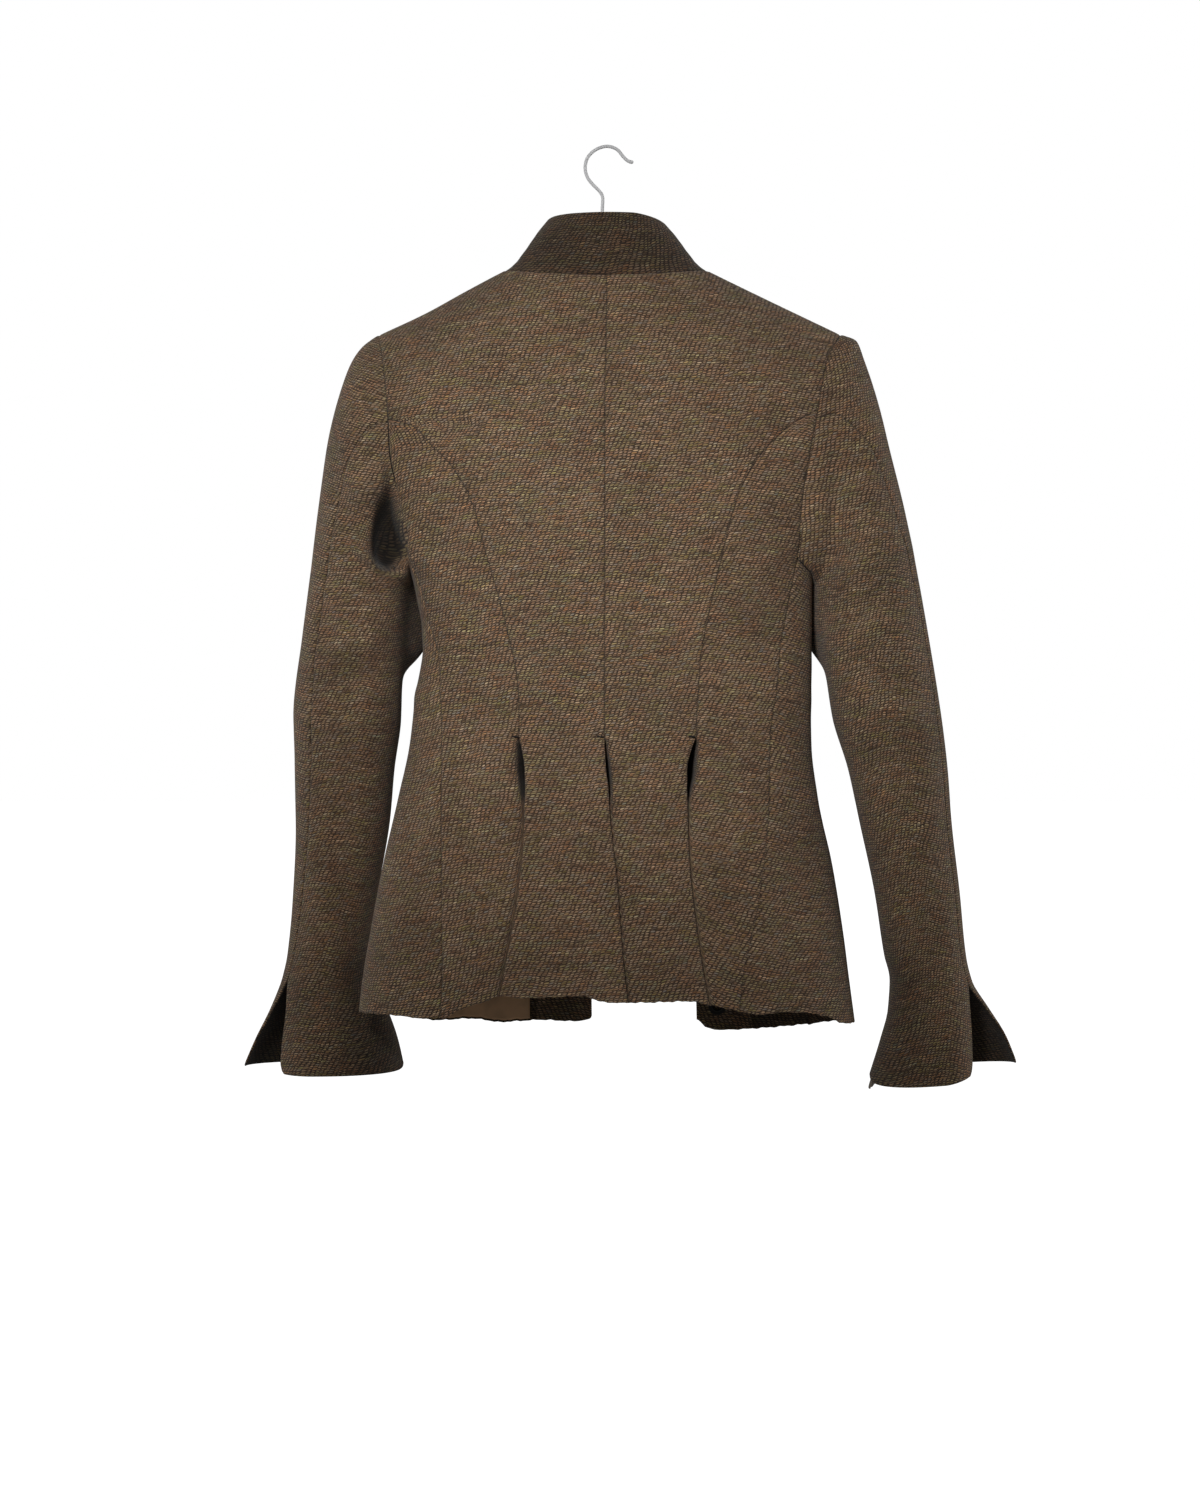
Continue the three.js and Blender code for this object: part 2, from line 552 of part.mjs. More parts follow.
// A panel of the back or front from its left (+X) edge to its right, in columns by share, rows
// between fixed levels, and the pleats' folds and underlaps beyond its edges.
const BELOW_PLEATS = -600; // a level at which each pleat's columns are all there
const HEM_GUESS = -725; // level from which a column's hem is sought
const HEM_TRIES = 3;
function panel({ side, edges, shares, topOf, levels }) {
  const [e0, e1] = edges.map((e) => ({ side, ...e }));
  const lift = (dive, d) => dive * (1 - Math.min(d / ROLL_REACH, 1)) ** ROLL_POWER;
  const row = (z) => {
    const a = edgeStations(e0, 1, z);
    const b = edgeStations(e1, -1, z);
    const width = a.main - b.main;
    const most = a.near[a.near.length - 1] + b.near[b.near.length - 1];
    const scale = most > 0 ? Math.min(1, (NEAR_SHARE * width) / most) : 1;
    const xs = [];
    a.near.forEach((d) => xs.push(a.main - d * scale));
    const x0 = xs[xs.length - 1];
    const x1 = b.main + b.near[b.near.length - 1] * scale;
    shares.forEach((f) => xs.push(mix(x0, x1, f)));
    [...b.near].reverse().forEach((d) => xs.push(b.main + d * scale));
    const main = xs.map((x) => {
      const sunk = lift(a.dive, a.main - x) + lift(b.dive, x - b.main);
      return { x, sunk };
    });
    const turned = main.map((m, k) => {
      const before = main[Math.max(k - 1, 0)];
      const after = main[Math.min(k + 1, main.length - 1)];
      const slope = (after.sunk - before.sunk) / (after.x - before.x);
      const n = Math.hypot(1, slope);
      const edgeCell = (k === 0 && a.beyond.length) || (k === main.length - 1 && b.beyond.length);
      const tilt = edgeCell || !slope ? 0 : slope / n;
      return { outer: m, inner: { x: m.x - tilt * CLOTH, sunk: m.sunk + CLOTH / (tilt ? n : 1) } };
    });
    return [...[...a.beyond].reverse(), ...turned, ...b.beyond];
  };
  const extra0 = edgeStations(e0, 1, BELOW_PLEATS).beyond.length;
  const extra1 = edgeStations(e1, -1, BELOW_PLEATS).beyond.length;
  const count = row(BELOW_PLEATS).length;
  const columnX = (j, z) => row(z)[j].outer.x;
  const bottoms = [];
  for (let j = 0; j < count; j += 1) {
    let z = HEM_GUESS;
    for (let k = 0; k < HEM_TRIES; k += 1) {
      const x = columnX(j, z);
      const y = placed(x, z, side, 0).y;
      z = hemAt(x, y);
    }
    bottoms.push(z);
  }
  const tops = [];
  for (let j = 0; j < count; j += 1) {
    const k = clamp(j, extra0, count - 1 - extra1);
    let z = topOf(columnX(k, ARMHOLE[0].z));
    for (let n = 0; n < HEM_TRIES; n += 1) z = topOf(columnX(k, z));
    tops.push(z);
  }
  const outer = [];
  const inner = [];
  for (let i = 0; i < levels.length; i += 1) {
    outer.push([]);
    inner.push([]);
    for (let j = 0; j < count; j += 1) {
      const z = levels[i](tops[j], bottoms[j]);
      const station = row(z)[j];
      outer[i].push(placed(station.outer.x, z, side, station.outer.sunk));
      inner[i].push(placed(station.inner.x, z, side, station.inner.sunk));
    }
  }
  const firstOpen = outer.findIndex((points) => points[extra0].z < PLEAT_Z - 1);
  const has = (i, j) => i >= firstOpen || (j >= extra0 && j < count - 1 - extra1);
  return { outer, inner, geometry: wall(outer, inner, false, extra0 + extra1 ? has : () => true) };
}

// Levels of the rows: shares of the way from a panel's top to a base level, fixed heights, and
// shares of the way from the last fixed height to the hem.
const fromTop = (base, shares) => shares.map((f) => (top) => mix(top, base, f));
const fixed = (zs) => zs.map((z) => () => z);
const toHem = (from, count) =>
  Array.from({ length: count }, (_, i) => (top, hem) => mix(from, hem, (i + 1) / count));

const SHOULDER_ROWS = [0, 0.01, 0.04, 0.1, 0.2, 0.34, 0.52, 0.76];
const LAST_LEVEL = -556; // lowest fixed row, from which the rows fan out to the hem
const PLEAT_ROWS = [PLEAT_Z, -502, -510, -524, -540, LAST_LEVEL];
const WAIST_ROWS = [-272, -300, -325, SIDE_BACK_Z, -372, -393, -421, -450, -474];
const HEM_ROWS = 5;

const backTop = (x) => (Math.abs(x) > NECK_X ? shoulderZ(x) : along(NECK_BACK, "x", "z", x));
const frontTop = (x) => (Math.abs(x) > NECK_X ? shoulderZ(x) : along(NECK_FRONT, "x", "z", x));
const upperSeam = (column, table, top, key) => (z) =>
  z >= top ? byZ(ARMHOLE, column, z) : byZ(table, key, z);

const backLeftSeam = upperSeam("backL", PRINCESS_L, PRINCESS_TOP_L, "x");
const backRightSeam = upperSeam("backR", PRINCESS_R, PRINCESS_TOP_R, "x");
const sideBackLeft = upperSeam("backL", SIDE_BACK, SIDE_BACK_Z, "left");
const sideBackRight = upperSeam("backR", SIDE_BACK, SIDE_BACK_Z, "right");
const sideFrontLeft = upperSeam("frontL", SIDE_FRONT, SIDE_BACK_Z, "left");
const sideFrontRight = upperSeam("frontR", SIDE_FRONT, SIDE_BACK_Z, "right");
const centreBack = (z) => byZ(CENTRE_BACK, "x", z);

// Shares of the way across, with a column at the corner where the neck meets the shoulder.
const SHARES_LEFT = [0.14, 0.28, 0.42, 0.554, 0.7, 0.85];
const SHARES_RIGHT = [0.14, 0.28, 0.4186, 0.56, 0.7, 0.85];
const ROWS_LEFT = [-236, -239, -254, ...WAIST_ROWS];
const ROWS_RIGHT = [-228, -232, -238, -252, ...WAIST_ROWS];
const backLeft = panel({
  side: 1,
  edges: [
    { kind: "over", pleat: PLEATS.left, seam: backLeftSeam },
    { kind: "over", pleat: PLEATS.centre, seam: centreBack },
  ],
  shares: SHARES_LEFT,
  topOf: backTop,
  levels: [
    ...fromTop(PRINCESS_TOP_L, [...SHOULDER_ROWS, 1]),
    ...fixed([...ROWS_LEFT, ...PLEAT_ROWS]),
    ...toHem(LAST_LEVEL, HEM_ROWS),
  ],
});
add("back_left", backLeft.geometry, TWEED);
const backRight = panel({
  side: 1,
  edges: [
    { kind: "under", pleat: PLEATS.centre, seam: centreBack },
    { kind: "over", pleat: PLEATS.right, seam: backRightSeam },
  ],
  shares: SHARES_RIGHT,
  topOf: backTop,
  levels: [
    ...fromTop(PRINCESS_TOP_R, [...SHOULDER_ROWS, 1]),
    ...fixed([...ROWS_RIGHT, ...PLEAT_ROWS]),
    ...toHem(LAST_LEVEL, HEM_ROWS),
  ],
});
add("back_right", backRight.geometry, TWEED);

// Side backs start as a narrow point at the armhole.
const POINT_DROP = 0.9; // how far the point's lower corner lies below its upper one
const sideTop = (top, outerX, innerX) => (x) =>
  top - SEAM - POINT_DROP * clamp((outerX - x) / (outerX - innerX), 0, 1);
const SIDE_SHARES = [0.25, 0.5, 0.75];
add(
  "side_back_left",
  panel({
    side: 1,
    edges: [
      { kind: "seam", seam: sideBackLeft },
      { kind: "under", pleat: PLEATS.left, seam: (z) => byZ(PRINCESS_L, "x", z) },
    ],
    shares: SIDE_SHARES,
    topOf: sideTop(PRINCESS_TOP_L, 182.3, 178),
    levels: [
      ...fromTop(ROWS_LEFT[0], [0, 1]),
      ...fixed([...ROWS_LEFT.slice(1), ...PLEAT_ROWS]),
      ...toHem(LAST_LEVEL, HEM_ROWS),
    ],
  }).geometry,
  TWEED,
);
add(
  "side_back_right",
  panel({
    side: 1,
    edges: [
      { kind: "under", pleat: PLEATS.right, seam: (z) => byZ(PRINCESS_R, "x", z) },
      { kind: "seam", seam: sideBackRight },
    ],
    shares: SIDE_SHARES,
    topOf: sideTop(PRINCESS_TOP_R, -177.4, -173),
    levels: [
      ...fromTop(ROWS_RIGHT[0], [0, 1]),
      ...fixed([...ROWS_RIGHT.slice(1), ...PLEAT_ROWS]),
      ...toHem(LAST_LEVEL, HEM_ROWS),
    ],
  }).geometry,
  TWEED,
);

// Fronts, from the armhole and side-front seam to the front edge.
const ARMHOLE_ROWS = [-260, -285, -312, SIDE_BACK_Z];
const LOWER_ROWS = [-372, -393, -421, -450, -474, PLEAT_Z, -524, LAST_LEVEL];
const FRONT_SHARES_L = [0.14, 0.29, 0.44, 0.59, 0.73, 0.84, 0.9076, 0.96];
const FRONT_SHARES_R = [0.14, 0.29, 0.44, 0.59, 0.73, 0.86];
const frontLevels = [
  ...fromTop(PRINCESS_TOP_L, [...SHOULDER_ROWS, 1]),
  ...fixed([...ARMHOLE_ROWS, ...LOWER_ROWS]),
  ...toHem(LAST_LEVEL, HEM_ROWS),
];
const freeEdge = (column) => (z) => byZ(FRONT_EDGE, column, z);
const frontLeft = panel({
  side: -1,
  edges: [
    { kind: "seam", seam: sideFrontLeft },
    { kind: "free", seam: freeEdge("left") },
  ],
  shares: FRONT_SHARES_L,
  topOf: frontTop,
  levels: frontLevels,
});
add("front_left", frontLeft.geometry, TWEED);
const frontRight = panel({
  side: -1,
  edges: [
    { kind: "freeRight", seam: freeEdge("right") },
    { kind: "seam", seam: sideFrontRight },
  ],
  shares: [...FRONT_SHARES_R].reverse().map((f) => 1 - f),
  topOf: frontTop,
  levels: frontLevels,
});
add("front_right", frontRight.geometry, TWEED);

// A thinner cloth that lies against the inside of a panel, made from the panel's own points
// between two columns and from a row down to just above the hem.
function backing(cloth, fromColumn, toColumn, fromRow, hemRise, wallT) {
  const outer = [];
  const inner = [];
  const rows = cloth.outer.length;
  const point = (i, j, depth) =>
    cloth.outer[i][j].clone().lerp(cloth.inner[i][j], depth / CLOTH);
  const shifted = (i, j, depth) => {
    const p = point(i, j, depth);
    const to = j === fromColumn ? j + 1 : j === toColumn ? j - 1 : j;
    if (to !== j) p.lerp(point(i, to, depth), HALF_SEAM / p.distanceTo(point(i, to, depth)));
    return p;
  };
  const raised = (i, j, depth) => {
    const p = shifted(i, j, depth);
    if (i < rows - 1) return p;
    const above = shifted(i - 1, j, depth);
    return p.lerp(above, hemRise / p.distanceTo(above));
  };
  for (let i = fromRow; i < rows; i += 1) {
    outer.push([]);
    inner.push([]);
    for (let j = fromColumn; j <= toColumn; j += 1) {
      outer[outer.length - 1].push(raised(i, j, CLOTH + SEAM));
      inner[inner.length - 1].push(raised(i, j, CLOTH + SEAM + wallT));
    }
  }
  return { outer, inner, geometry: wall(outer, inner) };
}
const FACING_T = 1.2;
const FACING_HEM = 2; // how far above the hem a facing ends
const FACING_ROW = SHOULDER_ROWS.length; // first row, level with the underarm's upper part
const LINING_ROW = FACING_ROW + 4;
const LINING_HEM = 3;
const FACING_COLUMNS_L = 3;
const FACING_COLUMNS_R = 4;
const leftLast = frontLeft.outer[0].length - 1;
const facingLeft = backing(
  frontLeft,
  leftLast - FACING_COLUMNS_L,
  leftLast,
  FACING_ROW,
  FACING_HEM,
  FACING_T,
);
add("facing_left", facingLeft.geometry, TWEED_DARK);
const facingRight = backing(frontRight, 0, FACING_COLUMNS_R, FACING_ROW, FACING_HEM, FACING_T);
add("facing_right", facingRight.geometry, TWEED_DARK);
const liningLeft = backing(
  frontLeft,
  1,
  leftLast - FACING_COLUMNS_L,
  LINING_ROW,
  LINING_HEM,
  LINING,
);
add("lining_left", liningLeft.geometry, LINING_CLOTH);

// Underarm panels, round the side from the side-back seam to the side-front seam.
const UNDERARM_POWER = 2.2;
const underarmZ = (share) =>
  mix(UNDERARM_Z, SIDE_BACK_Z, Math.abs(2 * share - 1) ** UNDERARM_POWER);
const UNDERARM_COLUMNS = [0, 0.12, 0.25, 0.38, 0.5, 0.62, 0.75, 0.88, 1];
function underarmAngles(left, z) {
  const back = left ? sideBackLeft(z) : sideBackRight(z);
  const front = left ? sideFrontLeft(z) : sideFrontRight(z);
  const a = angleAt(back, z, 1);
  const b = left ? angleAt(front, z, -1) : 2 * Math.PI + angleAt(front, z, -1);
  const reach = (t) => skin(t + EDGE_FINE, z).distanceTo(skin(t - EDGE_FINE, z)) / (2 * EDGE_FINE);
  const way = Math.sign(b - a);
  return [a + (way * HALF_SEAM) / reach(a), b - (way * HALF_SEAM) / reach(b)];
}
function underarmPanel(left) {
  const outer = [];
  const inner = [];
  const tops = UNDERARM_COLUMNS.map(underarmZ);
  const hems = UNDERARM_COLUMNS.map((share) => {
    const [a, b] = underarmAngles(left, HEM_GUESS);
    const p = skin(mix(a, b, share), HEM_GUESS);
    return hemAt(p.x, p.y);
  });
  const fixedRows = LOWER_ROWS.length;
  const base = LOWER_ROWS[fixedRows - 1];
  for (let i = 0; i <= fixedRows + HEM_ROWS; i += 1) {
    outer.push([]);
    inner.push([]);
    UNDERARM_COLUMNS.forEach((share, j) => {
      const low = mix(base, hems[j], (i - fixedRows) / HEM_ROWS);
      const z = i === 0 ? tops[j] : i > fixedRows ? low : LOWER_ROWS[i - 1];
      const [a, b] = underarmAngles(left, z);
      const angle = mix(a, b, share);
      const p = skin(angle, z);
      outer[i].push(p);
      inner[i].push(p.clone().addScaledVector(skinNormal(angle, z), -CLOTH));
    });
  }
  return wall(outer, inner);
}
add("side_left", underarmPanel(true), TWEED);
add("side_right", underarmPanel(false), TWEED);

// ---------- collar ----------
const SHOULDER_WAY = 0.29; // share of the collar's way at which it passes the shoulder seam
const COLLAR_RISE = [0, 0.15, 0.4, 0.65, 0.88, 1];
const COLLAR_LIFT = 0.35; // room above the neck seam
const COLLAR_AXIS_Y = 8; // how far forward the middle of the collar lies
const COLLAR_UP = 20; // upward share of the direction that its outer face looks in
// The neck edge, from the left front round the back to the right front, by the panels' points.
const neckEdge = (cloth) => cloth.outer[0].filter((p) => Math.abs(p.x) < NECK_X + 1);
const neckPoints = [
  ...neckEdge(frontLeft).reverse(),
  ...neckEdge(backLeft).slice(1),
  ...neckEdge(backRight).slice(1),
  ...neckEdge(frontRight).reverse().slice(1),
];
// Share of the collar's way at a point of the neck edge.
function wayOf(p, k) {
  const left = k < neckPoints.length / 2;
  const across = clamp(Math.abs(p.x) / NECK_X, 0, 1);
  const edge = Math.abs((left ? neckPoints[0] : neckPoints[neckPoints.length - 1]).x) / NECK_X;
  const front = Math.asin(clamp((across - edge) / (1 - edge), 0, 1)) / (Math.PI / 2);
  const back = Math.acos(across) / (Math.PI / 2);
  const w = p.y < 0 ? SHOULDER_WAY * front : mix(SHOULDER_WAY, 0.5, back);
  return p.y < 0 ? (left ? w : 1 - w) : p.x > 0 ? w : 1 - w;
}
const collarWays = neckPoints.map(wayOf);
function collarPoint(k, rise) {
  const base = neckPoints[k].clone();
  const way = collarWays[k];
  base.z += COLLAR_LIFT;
  const shrink = SEAM / Math.hypot(base.x, base.y);
  base.x *= 1 - shrink;
  base.y *= 1 - shrink;
  const top = new THREE.Vector3(
    along(COLLAR, "way", "x", way),
    along(COLLAR, "way", "y", way),
    along(COLLAR, "way", "z", way),
  );
  const swell = along(COLLAR, "way", "swell", way) * Math.sin(Math.PI * rise);
  const p = base.lerp(top, rise);
  const out = new THREE.Vector3(p.x, p.y, 0).normalize();
  return p.addScaledVector(out, swell);
}
// Normals of a grid of points, by its neighbours, on the side that faces away from a centre.
function gridNormal(grid, i, j, outward, wrap) {
  const rows = grid.length;
  const cols = grid[0].length;
  const up = grid[Math.max(i - 1, 0)][j];
  const down = grid[Math.min(i + 1, rows - 1)][j];
  const before = grid[i][wrap ? (j + cols - 1) % cols : Math.max(j - 1, 0)];
  const after = grid[i][wrap ? (j + 1) % cols : Math.min(j + 1, cols - 1)];
  const n = down.clone().sub(up).cross(after.clone().sub(before)).normalize();
  return n.dot(outward) < 0 ? n.negate() : n;
}
const collarOuter = COLLAR_RISE.map((rise) => neckPoints.map((_, k) => collarPoint(k, rise)));
const collarInner = collarOuter.map((row, i) =>
  row.map((p, j) => {
    const away = new THREE.Vector3(p.x, p.y + COLLAR_AXIS_Y, COLLAR_UP);
    return p.clone().addScaledVector(gridNormal(collarOuter, i, j, away, false), -CLOTH);
  }),
);
add("stand_collar", wall(collarOuter, collarInner), TWEED_DARK);

// ---------- sleeves ----------
const DEG = Math.PI / 180;
const BOTTOM_FROM = 150; // the loop's angles that lie on the underarm panel
const BOTTOM_TO = 210;
const LOOP_FADE = 0.16; // share of the sleeve over which the armhole's own shape fades out
const SLEEVE_GAP = 0.6; // room between the armhole and the sleeve
const OVAL = 2.15; // exponent of a sleeve section
function armholePoint(left, turn) {
  const fullDrop = 1 - Math.cos(BOTTOM_FROM * DEG);
  const column = (front) => (front ? "front" : "back") + (left ? "L" : "R");
  const tip = ARMHOLE[0].z;
  if (turn <= BOTTOM_FROM || turn >= BOTTOM_TO) {
    const front = turn >= BOTTOM_TO;
    const z = tip + (SIDE_BACK_Z - tip) * ((1 - Math.cos(turn * DEG)) / fullDrop);
    return placed(byZ(ARMHOLE, column(front), z), z, front ? -1 : 1, 0);
  }
  const share = (turn - BOTTOM_FROM) / (BOTTOM_TO - BOTTOM_FROM);
  const z = underarmZ(share);
  const [a, b] = underarmAngles(left, z);
  return skin(mix(a, b, share), z);
}
function sleeveSection(table, left, s, turn, outerX) {
  const sign = left ? 1 : -1;
  const at = (column) => along(table, "s", column, s);
  const o = new THREE.Vector3(sign * (outerX === undefined ? at("ox") : outerX), 0, at("oz"));
  const i = new THREE.Vector3(sign * at("ix"), 0, at("iz"));
  const real = new THREE.Vector3(sign * at("ox"), 0, at("oz"));
  const centre = real.clone().add(i).multiplyScalar(0.5);
  const c = Math.cos(turn * DEG);
  const sn = Math.sin(turn * DEG);
  const reach = c > 0 ? o.clone().sub(centre) : centre.clone().sub(i);
  const p = centre.addScaledVector(reach, Math.sign(c) * Math.abs(c) ** (2 / OVAL));
  p.y = at("y") + at("half") * Math.sign(sn) * Math.abs(sn) ** (2 / OVAL);
  return p;
}
function sleevePoint(table, left, s, turn, outerX) {
  const sign = left ? 1 : -1;
  const p = sleeveSection(table, left, s, turn, outerX);
  if (s < LOOP_FADE) {
    const want = armholePoint(left, ((turn % 360) + 360) % 360);
    want.x += sign * SLEEVE_GAP;
    const off = want.sub(sleeveSection(table, left, 0, turn));
    p.addScaledVector(off, (1 - s / LOOP_FADE) ** 2);
  }
  return p;
}
const FOLD_CORE = 0.35; // share of a fold's length, each way, that keeps its full height
const FOLD_START = 0.06; // share of the sleeve over which the folds set in
// Height of the folds' ridges and troughs at a point of the sleeve's back.
function foldRise(folds, p) {
  return folds.reduce((sum, f) => {
    const length = Math.hypot(f.dx, f.dz);
    const ax = (p.x - f.x) / length;
    const az = (p.z - f.z) / length;
    const t = (ax * f.dx + az * f.dz) / length;
    const off = Math.abs(ax * f.dz - az * f.dx);
    const ends = Math.max(0, Math.abs(t) - FOLD_CORE) * length;
    return sum + f.rise * Math.exp(-((off / f.width) ** 2)) * Math.exp(-((ends / f.width) ** 2));
  }, 0);
}
const SLEEVE_ROWS = [0, 0.012, 0.03, 0.055, 0.085, 0.12, 0.155, 0.19, 0.235, 0.28, 0.325, 0.37, 0.415];
const SLEEVE_ROWS_LOW = [0.46, 0.51, 0.56, 0.63, 0.7, 0.75, 0.8, 0.85, 0.9, 0.935, 0.948, 0.96, 0.98, 1];
const sleeveRows = [...SLEEVE_ROWS, ...SLEEVE_ROWS_LOW];
const UPPER_COLUMNS = 12;
// Shares of the under sleeve's width, closer together at the underarm.
const UNDER_SHARES = [0, 0.14, 0.27, 0.4, 0.5, 0.58, 0.66, 0.73, 0.8, 0.87, 0.93, 1];
const SLEEVE_HALF_SEAM = 0.2; // degrees that half a seam takes of a sleeve's turn
const STEP_S = 0.004;
const STEP_TURN = 1.5;
const START_BLEND = 0.05; // share of the sleeve over which its wall swings from the armhole's plane
function sleevePiece(table, left, under, folds) {
  const sign = left ? 1 : -1;
  const count = under ? UNDER_SHARES.length : UPPER_COLUMNS;
  const turns = [];
  const outer = sleeveRows.map((s) => {
    const seam = along(table, "s", "seam", s);
    const open = s >= VENT_S;
    const outerX = open && under ? along(VENT, "s", left ? "underL" : "underR", s) : undefined;
    const edge = open && !under ? along(VENT, "s", left ? "upperL" : "upperR", s) : seam;
    const from = under ? edge + SLEEVE_HALF_SEAM : INNER_SEAM + SLEEVE_HALF_SEAM;
    const to = under ? INNER_SEAM - SLEEVE_HALF_SEAM : 360 + edge - SLEEVE_HALF_SEAM;
    turns.push([]);
    return Array.from({ length: count }, (_, j) => {
      const turn = mix(from, to, under ? UNDER_SHARES[j] : j / (count - 1));
      turns[turns.length - 1].push(turn);
      const p = sleevePoint(table, left, s, turn, outerX);
      const drop = along(VENT, "s", left ? "dropL" : "dropR", s);
      if (open && under) p.z -= drop * Math.sqrt(Math.max(0, Math.sin(turn * DEG)));
      return p;
    });
  });
  const centreOf = (i) => {
    const s = sleeveRows[i];
    const at = (column) => along(table, "s", column, s);
    return new THREE.Vector3((sign * (at("ox") + at("ix"))) / 2, at("y"), (at("oz") + at("iz")) / 2);
  };
  const normalAt = (i, j) => {
    const away = outer[i][j].clone().sub(centreOf(i));
    const s = sleeveRows[i];
    const turn = turns[i][j];
    const open = s > VENT_S && under;
    const outerX = open ? along(VENT, "s", left ? "underL" : "underR", s) : undefined;
    const at = (ds, dt) => sleevePoint(table, left, clamp(s + ds, 0, 1), turn + dt, outerX);
    const alongIt = at(STEP_S, 0).sub(at(-STEP_S, 0));
    const own = alongIt.cross(at(0, STEP_TURN).sub(at(0, -STEP_TURN))).normalize();
    if (own.dot(away) < 0) own.negate();
    const f = 1 - clamp(sleeveRows[i] / START_BLEND, 0, 1);
    const plane = new THREE.Vector3(0, away.y, away.z).normalize();
    return own.lerp(plane, f).normalize();
  };
  const normals = outer.map((row, i) => row.map((_, j) => normalAt(i, j)));
  const moved = outer.map((row, i) =>
    row.map((p, j) => {
      const facing = Math.max(0, normals[i][j].y);
      const fade = smooth(clamp(sleeveRows[i] / FOLD_START, 0, 1));
      const q = new THREE.Vector3(sign * p.x, 0, p.z);
      return p.clone().addScaledVector(normals[i][j], foldRise(folds, q) * facing * fade);
    }),
  );
  const inner = moved.map((row, i) => row.map((p, j) => p.clone().addScaledVector(normals[i][j], -CLOTH)));
  return { outer: moved, inner, geometry: wall(moved, inner) };
}
const underRight = sleevePiece(SLEEVE_R, false, true, FOLDS_R);
add("upper_sleeve_left", sleevePiece(SLEEVE_L, true, false, FOLDS_L).geometry, TWEED);
add("under_sleeve_left", sleevePiece(SLEEVE_L, true, true, FOLDS_L).geometry, TWEED);
add("upper_sleeve_right", sleevePiece(SLEEVE_R, false, false, FOLDS_R).geometry, TWEED);
add("under_sleeve_right", underRight.geometry, TWEED);

// A corner of the sleeve's lining that hangs out below the right cuff, by its inner edge.
const TAB = { from: 0.5, to: 2.9, above: 10, below: 11, thick: 1.2, columns: 5, cornerLift: 2.2 };
function liningTab(cloth) {
  const last = cloth.outer.length - 1;
  const width = cloth.outer[0].length - 1;
  const cornerOf = (f) => Math.max(0, Math.abs(2 * f - 1) - 0.6) * TAB.cornerLift * 2.5;
  const at = (row, f, depth) => {
    const j = width - mix(TAB.from, TAB.to, f);
    const k = Math.floor(j);
    const deep = (q) => cloth.outer[row][q].clone().lerp(cloth.inner[row][q], depth / CLOTH);
    return deep(k).lerp(deep(k + 1), j - k);
  };
  const column = (f, depth) => {
    const hem = at(last, f, depth);
    const up = at(last - 1, f, depth).sub(hem).normalize();
    const reach = [TAB.above, 3, -TAB.below * 0.5, -TAB.below + cornerOf(f)];
    return reach.map((d) => hem.clone().addScaledVector(up, d));
  };
  const layer = (depth) => {
    const columns = Array.from({ length: TAB.columns }, (_, k) => column(k / (TAB.columns - 1), depth));
    return columns[0].map((_, i) => columns.map((c) => c[i]));
  };
  return wall(layer(CLOTH + SEAM), layer(CLOTH + SEAM + TAB.thick));
}
add("cuff_lining_tab", liningTab(underRight), TAB_CLOTH);

// ---------- hanger ----------
const HOOK_SIDES = 8;
const HOOK_STEPS = 38;
const hookPath = new THREE.CatmullRomCurve3(HOOK.map((p) => new THREE.Vector3(p.x, 0, p.z)));
function rod(path, steps, radius, sides) {
  const points = [];
  const faces = [];
  for (let i = 0; i <= steps; i += 1) {
    const centre = path.getPointAt(i / steps);
    const t = path.getTangentAt(i / steps);
    const u = new THREE.Vector3(-t.z, 0, t.x);
    for (let k = 0; k < sides; k += 1) {
      const a = (2 * Math.PI * k) / sides;
      const p = centre.clone().addScaledVector(u, radius * Math.cos(a));
      p.y += radius * Math.sin(a);
      points.push(p);
    }
  }
  for (let i = 0; i < steps; i += 1)
    for (let k = 0; k < sides; k += 1) {
      const a = i * sides + k;
      const b = i * sides + ((k + 1) % sides);
      faces.push([a, b, b + sides], [a, b + sides, a + sides]);
    }
  for (let k = 1; k < sides - 1; k += 1) {
    faces.push([0, k + 1, k]);
    faces.push([steps * sides, steps * sides + k, steps * sides + k + 1]);
  }
  return solidFrom(points, faces);
}
add("hook", rod(hookPath, HOOK_STEPS, WIRE_D / 2, HOOK_SIDES), STEEL);

